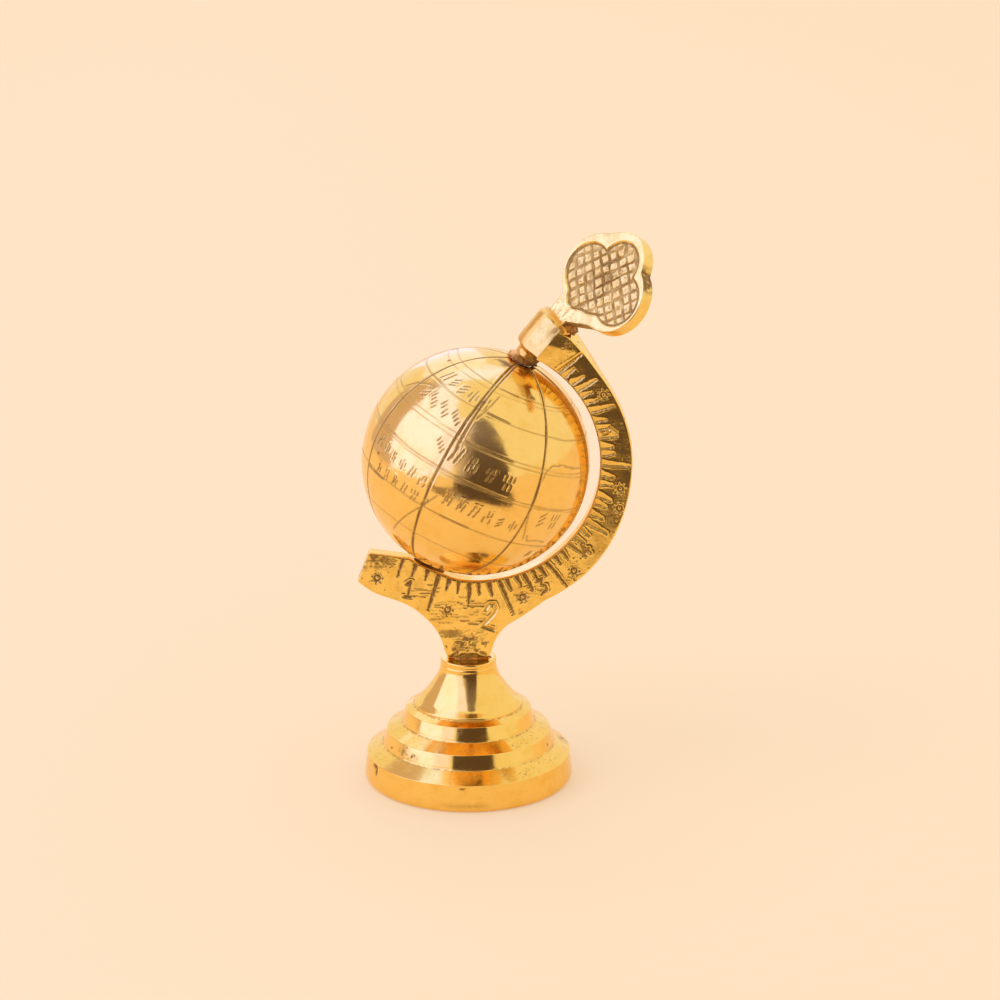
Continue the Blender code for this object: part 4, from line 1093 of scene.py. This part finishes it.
def makeScratchGroup():
    # polishing scratches: thin contour lines of noise stretched in three directions, faint and broken
    group, source, out = shaderGroup(
        "polishScratches",
        (("Vector", "Vector", None), ("Scale", "Float", 500.0)),
        (("Height", "Float"), ("Haze", "Float")))
    vector = source.outputs["Vector"]
    total = 0.0
    for turn, stretch in ((0.4, (1.0, 0.2, 0.08)), (1.9, (0.1, 0.7, 1.0)), (2.7, (0.6, 0.05, 1.0))):
        mapping = group.nodes.new("ShaderNodeMapping")
        mapping.inputs["Rotation"].default_value = (turn, 0.6 * turn, 1.3 * turn)
        mapping.inputs["Scale"].default_value = stretch
        group.links.new(vector, mapping.inputs["Vector"])
        noise = noiseNode(group, mapping.outputs["Vector"], source.outputs["Scale"], 3.0, 0.65)
        fromMiddle = mathNode(group, "ABSOLUTE", mathNode(group, "SUBTRACT", noise, 0.5))
        line = rangeNode(group, fromMiddle, 0.0, 0.012, 1.0, 0.0)
        total = mathNode(group, "MAXIMUM", total, line)
    gaps = rangeNode(group, noiseNode(group, vector, 260.0), 0.45, 0.62)
    group.links.new(times(group, total, gaps), out.inputs["Height"])
    group.links.new(noiseNode(group, vector, 330.0, 4.0, 0.6), out.inputs["Haze"])
    return group


stainAndShadeGroup = makeStainAndShadeGroup()
scratchGroup = makeScratchGroup()


def groupNode(tree, group, vector, values):
    # a shared effect in this tree, with its vector and its values by the names of its inputs
    node = tree.nodes.new("ShaderNodeGroup")
    node.node_tree = group
    feed(tree, node.inputs["Vector"], vector)
    for label, value in values.items():
        feed(tree, node.inputs[label], value)
    return node.outputs


def brassMaterial(name, values):
    # polished brass: the metal's own colour drifts a little, haze and scratches change its gloss, and brown
    # oxide with painted shade, duller and less metallic, lies over it by the piece's stain-and-shade layer
    # and the specks
    material = bpy.data.materials.new(name)
    material.use_nodes = True
    tree = material.node_tree
    shader = tree.nodes["Principled BSDF"]
    place = tree.nodes.new("ShaderNodeTexCoord").outputs["Object"]
    # the piece's stain layer holds brown oxide and painted shade alike
    oxideAndShade = groupNode(tree, stainAndShadeGroup, place, {"Stain And Shade": attributeNode(tree, "stainAndShade"),
                                                "Grain Scale": values["grainScale"],
                                                "Speck Amount": values["specks"]})
    scratches = groupNode(tree, scratchGroup, place, {"Scale": values["scratchScale"]})

    deeper = rangeNode(tree, scratches["Haze"], 0.42, 0.75)
    bare = mixNode(tree, deeper, values["colour"], values["deepColour"])
    if "tarnish" in values:  # a deeper yellow where the piece says so
        bare = mixNode(tree, attributeNode(tree, "tarnish"), bare, values["tarnish"])
    brown = mixNode(tree, rangeNode(tree, oxideAndShade["Light"], 0.35, 0.65), brownDark, values["brownLight"])
    feed(tree, shader.inputs["Base Color"], mixNode(tree, oxideAndShade["Mask"], bare, brown))

    shader.inputs["Specular IOR Level"].default_value = 0.2
    feed(tree, shader.inputs["Metallic"], mathNode(tree, "SUBTRACT", 1.0, times(tree, oxideAndShade["Mask"], 0.6)))
    gloss = rangeNode(tree, scratches["Haze"], 0.35, 0.7, values["roughness"], values["roughness"] * 1.7)
    gloss = plus(tree, gloss, times(tree, scratches["Height"], 0.08))
    feed(tree, shader.inputs["Roughness"], plus(tree, gloss, times(tree, oxideAndShade["Mask"], 0.34), clamp=True))

    height = plus(tree, times(tree, scratches["Height"], values["scratchDepth"]),
                  times(tree, oxideAndShade["Light"], values["grainHeight"]))
    height = plus(tree, height, times(tree, noiseNode(tree, place, values["rippleScale"]), values["ripple"]))
    bump = tree.nodes.new("ShaderNodeBump")
    bump.inputs["Strength"].default_value = 1.0
    bump.inputs["Distance"].default_value = 0.00004
    tree.links.new(height, bump.inputs["Height"])
    tree.links.new(bump.outputs["Normal"], shader.inputs["Normal"])
    return material


finishes = {
    # bump heights are in shares of the bump's 0.04 mm; scales count per metre
    "ball_brass": {
        "colour": (0.97, 0.625, 0.175, 1.0), "deepColour": (0.93, 0.56, 0.125, 1.0), "roughness": 0.10,
        "brownLight": (0.32, 0.15, 0.03, 1.0), "grainScale": 900.0, "specks": 0.2, "grainHeight": 0.04,
        "scratchScale": 700.0, "scratchDepth": -0.05, "ripple": 0.35, "rippleScale": 240.0},
    "arm_brass": {
        "colour": (0.99, 0.65, 0.155, 1.0), "deepColour": (0.94, 0.57, 0.11, 1.0), "roughness": 0.12,
        "brownLight": (0.32, 0.15, 0.03, 1.0), "grainScale": 1300.0, "specks": 0.5, "grainHeight": 0.14,
        "scratchScale": 800.0, "scratchDepth": -0.08, "ripple": 0.4, "rippleScale": 420.0},
    "brushed_brass": {
        "colour": (0.96, 0.68, 0.19, 1.0), "deepColour": (0.92, 0.60, 0.14, 1.0), "roughness": 0.2,
        "tarnish": (0.90, 0.50, 0.10, 1.0),
        "brownLight": (0.40, 0.22, 0.06, 1.0), "grainScale": 1300.0, "specks": 0.4, "grainHeight": 0.14,
        "scratchScale": 900.0, "scratchDepth": -0.3, "ripple": 0.4, "rippleScale": 420.0},
    "clover_brass": {
        "colour": (0.96, 0.67, 0.195, 1.0), "deepColour": (0.93, 0.60, 0.15, 1.0), "roughness": 0.18,
        "brownLight": (0.40, 0.20, 0.05, 1.0), "grainScale": 1500.0, "specks": 0.5, "grainHeight": 0.5,
        "scratchScale": 700.0, "scratchDepth": -0.1, "ripple": 0.9, "rippleScale": 480.0},
    "foot_brass": {
        "colour": (0.96, 0.61, 0.145, 1.0), "deepColour": (0.92, 0.55, 0.10, 1.0), "roughness": 0.09,
        "brownLight": (0.34, 0.16, 0.03, 1.0), "grainScale": 1100.0, "specks": 0.3, "grainHeight": 0.05,
        "scratchScale": 700.0, "scratchDepth": -0.05, "ripple": 0.22, "rippleScale": 200.0},
    "solder": {
        "colour": (0.88, 0.44, 0.10, 1.0), "deepColour": (0.62, 0.26, 0.05, 1.0), "roughness": 0.26,
        "brownLight": (0.24, 0.085, 0.015, 1.0), "grainScale": 1600.0, "specks": 0.9, "grainHeight": 2.4,
        "scratchScale": 700.0, "scratchDepth": -0.1, "ripple": 6.0, "rippleScale": 900.0},
}
materials = {name: brassMaterial(name + "_finish", values) for name, values in finishes.items()}
print("materials made")


def dress(obj, finish, body, nodes=()):
    obj.data.materials.append(materials[finish])
    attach(obj, body)
    if nodes:
        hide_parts(*nodes)


dress(makeBall(), "ball_brass", "ball", ["globe"])
dress(makeArm(), "arm_brass", "stand", ["arm"])
dress(makeBarrel(), "brushed_brass", "stand")
dress(makeClover(), "clover_brass", "stand", ["finial"])
dress(makeFoot(), "foot_brass", "stand", ["base"])
for lumpName, lump in lumps.items():
    dress(makeLump(lumpName, lump), "solder", "stand")
print("pieces dressed")

# floor, camera and studio

studio = {
    "floorHalf": 6000.0,
    "floorColour": (0.57, 0.437, 0.304, 1.0), "floorGlow": (0.39, 0.303, 0.207, 1.0),
    "worldColour": (1.0, 0.955, 0.88, 1.0), "worldStrength": 0.99,
    "openingLow": (0.112, 0.077, 0.073, 1.0), "openingHigh": (0.26, 0.225, 0.31, 1.0),
    "openingVeil": (0.80, 0.72, 0.95, 1.0),
    # in metres: heights between which the opening turns grey, the veil's fade from its left edge, and
    # the level that it leaves clear with the fade on both sides of it
    "greyHeights": (0.05, 0.33), "veilFade": (-0.083, -0.012), "clearLevel": 0.04, "clearFade": (0.012, 0.04),
    # the dark opening in front, as x and z of its edge, the dark cloth on the floor, and a brown painted
    # shadow further out on the floor
    "openingDistance": 197.0,
    "openingEdge": [(-76, 0), (-72, 31), (-70, 60), (-66, 95), (-61, 135), (-40, 187), (-26, 268), (-14, 310),
                    (4, 375), (28, 412), (55, 405), (72, 385), (102, 292), (118, 205), (127, 132), (126, 69),
                    (134, 25), (136, 0)],
    "darkFloor": [(-84, -215), (-66, -183), (0, -189), (33, -155), (77, -110), (96, -122), (142, -197),
                  (142, -230), (-84, -230)],
    "brownFloor": [(-262, -298), (-178, -208), (-58, -176), (-150, -430)],
    "paintedFloorShadow": (0.36, 0.265, 0.205, 1.0),
    # soft panels: right edge and left edge as (azimuth, elevation) upwards, distance, colour, strength
    "panels": {
        "keyPanel": ([(-50, -4), (-40, 20), (-38, 40), (-36, 58)],
                     [(-97, -6), (-103, 20), (-106, 40), (-112, 58)], 900.0, (0.40, 0.435, 1.0, 1.0), 3.3),
        "keySidePanel": ([(-26, 3), (-22, 12), (-18, 30), (-10, 45), (-4, 60)],
                         [(-52, -1), (-42, 12), (-39, 30), (-38, 45), (-37, 60)],
                         905.0, (0.42, 0.44, 1.0, 1.0), 2.6),
        "topPanel": ([(-30, 58), (-44, 66), (-62, 76)], [(-208, 46), (-211, 58), (-206, 72)],
                     910.0, (0.33, 0.42, 1.0, 1.0), 3.2),
        "backLeftPanel": ([(-165, 2), (-158, 24), (-143, 36), (-138, 56)],
                          [(-178, 2), (-182, 24), (-186, 40), (-188, 56)],
                          900.0, (0.60, 0.62, 1.0, 1.0), 2.0),
        "greyPanel": ([(-90, -10), (-94, 2), (-100, 15), (-103, 30), (-105, 44), (-112, 54), (-122, 61)],
                      [(-137, -10), (-136, 2), (-136, 15), (-138, 30), (-137, 44), (-133, 55), (-129, 61)],
                      880.0, (0.70, 0.565, 0.64, 1.0), 1.0),
    },
    # the soft light and the camera: places in metres, the light's turn in radians, the camera's in degrees
    "keySize": 0.9, "keyPower": 2.0, "keyColour": (1.0, 0.95, 0.88),
    "keyPlace": (-0.75, -0.35, 0.95), "keyTurn": (0.0, -0.62, 0.42),
    "lens": 158.03, "cameraPlace": (0.00657, -0.85432, 0.34277), "cameraTurn": (71.716, 0.0, 0.0),
}


def plainMaterial(name, colour, roughness=0.9, emission=None):
    material = bpy.data.materials.new(name)
    material.use_nodes = True
    shader = material.node_tree.nodes["Principled BSDF"]
    shader.inputs["Base Color"].default_value = colour
    shader.inputs["Roughness"].default_value = roughness
    if emission is not None:
        shader.inputs["Base Color"].default_value = (0.0, 0.0, 0.0, 1.0)
        shader.inputs["Emission Color"].default_value = colour
        shader.inputs["Emission Strength"].default_value = emission
        shader.inputs["Specular IOR Level"].default_value = 0.0
    return material


def onStage(obj, material, seen):
    # every stage piece is mirrored in the brass; only one that is seen also takes and casts shade
    obj.data.materials.append(material)
    obj.visible_camera = seen
    obj.visible_diffuse = seen
    obj.visible_shadow = seen


def stageSheet(name, corners, material, seen=False):
    # one flat face through corners in millimetres
    mesh = bpy.data.meshes.new(name)
    mesh.from_pydata((np.array(corners) * millimetre).tolist(), [], [list(range(len(corners)))])
    obj = bpy.data.objects.new(name, mesh)
    bpy.context.scene.collection.objects.link(obj)
    onStage(obj, material, seen)


def panelOnDome(name, rightEdge, leftEdge, distance, colour, strength):
    # a soft panel that wraps a dome round the ball: rows rise in elevation, and each row runs from the
    # left edge's azimuth to the right edge's; edges are (azimuth, elevation) from bottom to top
    rows, columns = 16, 24
    share = np.linspace(0.0, 1.0, rows)
    left = curveThrough(leftEdge, 8)
    right = curveThrough(rightEdge, 8)
    left = walkAlong(left, share * pathLength(left))
    right = walkAlong(right, share * pathLength(right))
    t = np.linspace(0.0, 1.0, columns)[None, :, None]
    angles = np.radians(left[:, None, :] * (1.0 - t) + right[:, None, :] * t)
    azimuth, elevation = angles[..., 0], angles[..., 1]
    level = np.cos(elevation)
    points = ballCentre + distance * np.stack((np.sin(azimuth) * level, -np.cos(azimuth) * level,
                                               np.sin(elevation)), axis=-1)
    points[..., 2] = np.maximum(points[..., 2], 2.0)
    onStage(surface(name, points, False), plainMaterial(name + "_light", colour, emission=strength), False)


def makeFloor():
    # pale and faintly glowing, so that its far side stays as light as the near one
    half = studio["floorHalf"]
    material = plainMaterial("paleFloor", studio["floorColour"])
    shader = material.node_tree.nodes["Principled BSDF"]
    shader.inputs["Emission Color"].default_value = studio["floorGlow"]
    shader.inputs["Emission Strength"].default_value = 1.0
    stageSheet("floor", [(-half, -half, 0.0), (half, -half, 0.0), (half, half, 0.0), (-half, half, 0.0)],
               material, seen=True)


def openingMaterial():
    # the studio's unlit opening: darkest by the floor, greyer with height, and veiled along its left edge
    material = plainMaterial("darkCloth", (0.0, 0.0, 0.0, 1.0), emission=1.0)
    tree = material.node_tree
    split = tree.nodes.new("ShaderNodeSeparateXYZ")
    tree.links.new(tree.nodes.new("ShaderNodeTexCoord").outputs["Object"], split.inputs[0])
    x, z = split.outputs["X"], split.outputs["Z"]
    greyness = rangeNode(tree, z, *studio["greyHeights"])
    grey = mixNode(tree, greyness, studio["openingLow"], studio["openingHigh"])
    fromEdge = mathNode(tree, "SUBTRACT", x, times(tree, z, 0.1))
    fromLevel = mathNode(tree, "ABSOLUTE", mathNode(tree, "SUBTRACT", z, studio["clearLevel"]))
    veil = times(tree, rangeNode(tree, fromEdge, *studio["veilFade"], 1.0, 0.0),
                 rangeNode(tree, fromLevel, *studio["clearFade"]))
    veiled = mixNode(tree, veil, grey, studio["openingVeil"])
    feed(tree, tree.nodes["Principled BSDF"].inputs["Emission Color"], veiled)
    return material


def makeReflections():
    # what the brass mirrors: the dark opening, the dark cloth laid before it, a brown painted shadow on the
    # floor, and the soft panels
    dark = openingMaterial()
    edge = curveThrough(studio["openingEdge"], 5)
    stageSheet("darkOpening", [(x, -studio["openingDistance"], max(0.5, z)) for x, z in edge], dark)
    stageSheet("darkFloor", [(x, y, 0.5) for x, y in studio["darkFloor"]], dark)
    # a brown painted shadow on the floor, mirrored only
    stageSheet("brownWedge", [(x, y, 0.4) for x, y in studio["brownFloor"]],
               plainMaterial("paintedFloorShadow", studio["paintedFloorShadow"], emission=1.0))
    for name, (rightEdge, leftEdge, distance, colour, strength) in studio["panels"].items():
        panelOnDome(name, rightEdge, leftEdge, distance, colour, strength)


def makeWorld():
    world = bpy.data.worlds.new("softRoom")
    world.use_nodes = True
    background = world.node_tree.nodes["Background"]
    background.inputs["Color"].default_value = studio["worldColour"]
    background.inputs["Strength"].default_value = studio["worldStrength"]
    bpy.context.scene.world = world


def makeKeyLight():
    # a soft disc up on the left that only shades, since the panels are what the brass mirrors
    keyData = bpy.data.lights.new("softKey", "AREA")
    keyData.shape = "DISK"
    keyData.size = studio["keySize"]
    keyData.energy = studio["keyPower"]
    keyData.color = studio["keyColour"]
    key = bpy.data.objects.new("softKey", keyData)
    bpy.context.scene.collection.objects.link(key)
    key.location = studio["keyPlace"]
    key.rotation_euler = studio["keyTurn"]
    key.visible_camera = False
    key.visible_glossy = False


def makeCamera():
    # a long lens from in front, looking down a little
    cameraData = bpy.data.cameras.new("camera")
    cameraData.sensor_width = 36.0
    cameraData.lens = studio["lens"]
    cameraData.clip_start = 0.01
    camera = bpy.data.objects.new("camera", cameraData)
    bpy.context.scene.collection.objects.link(camera)
    camera.location = studio["cameraPlace"]
    camera.rotation_euler = np.radians(studio["cameraTurn"])
    bpy.context.scene.camera = camera
    bpy.context.scene.view_settings.view_transform = "Standard"


makeFloor()
makeReflections()
makeWorld()
makeKeyLight()
makeCamera()
print("studio set")
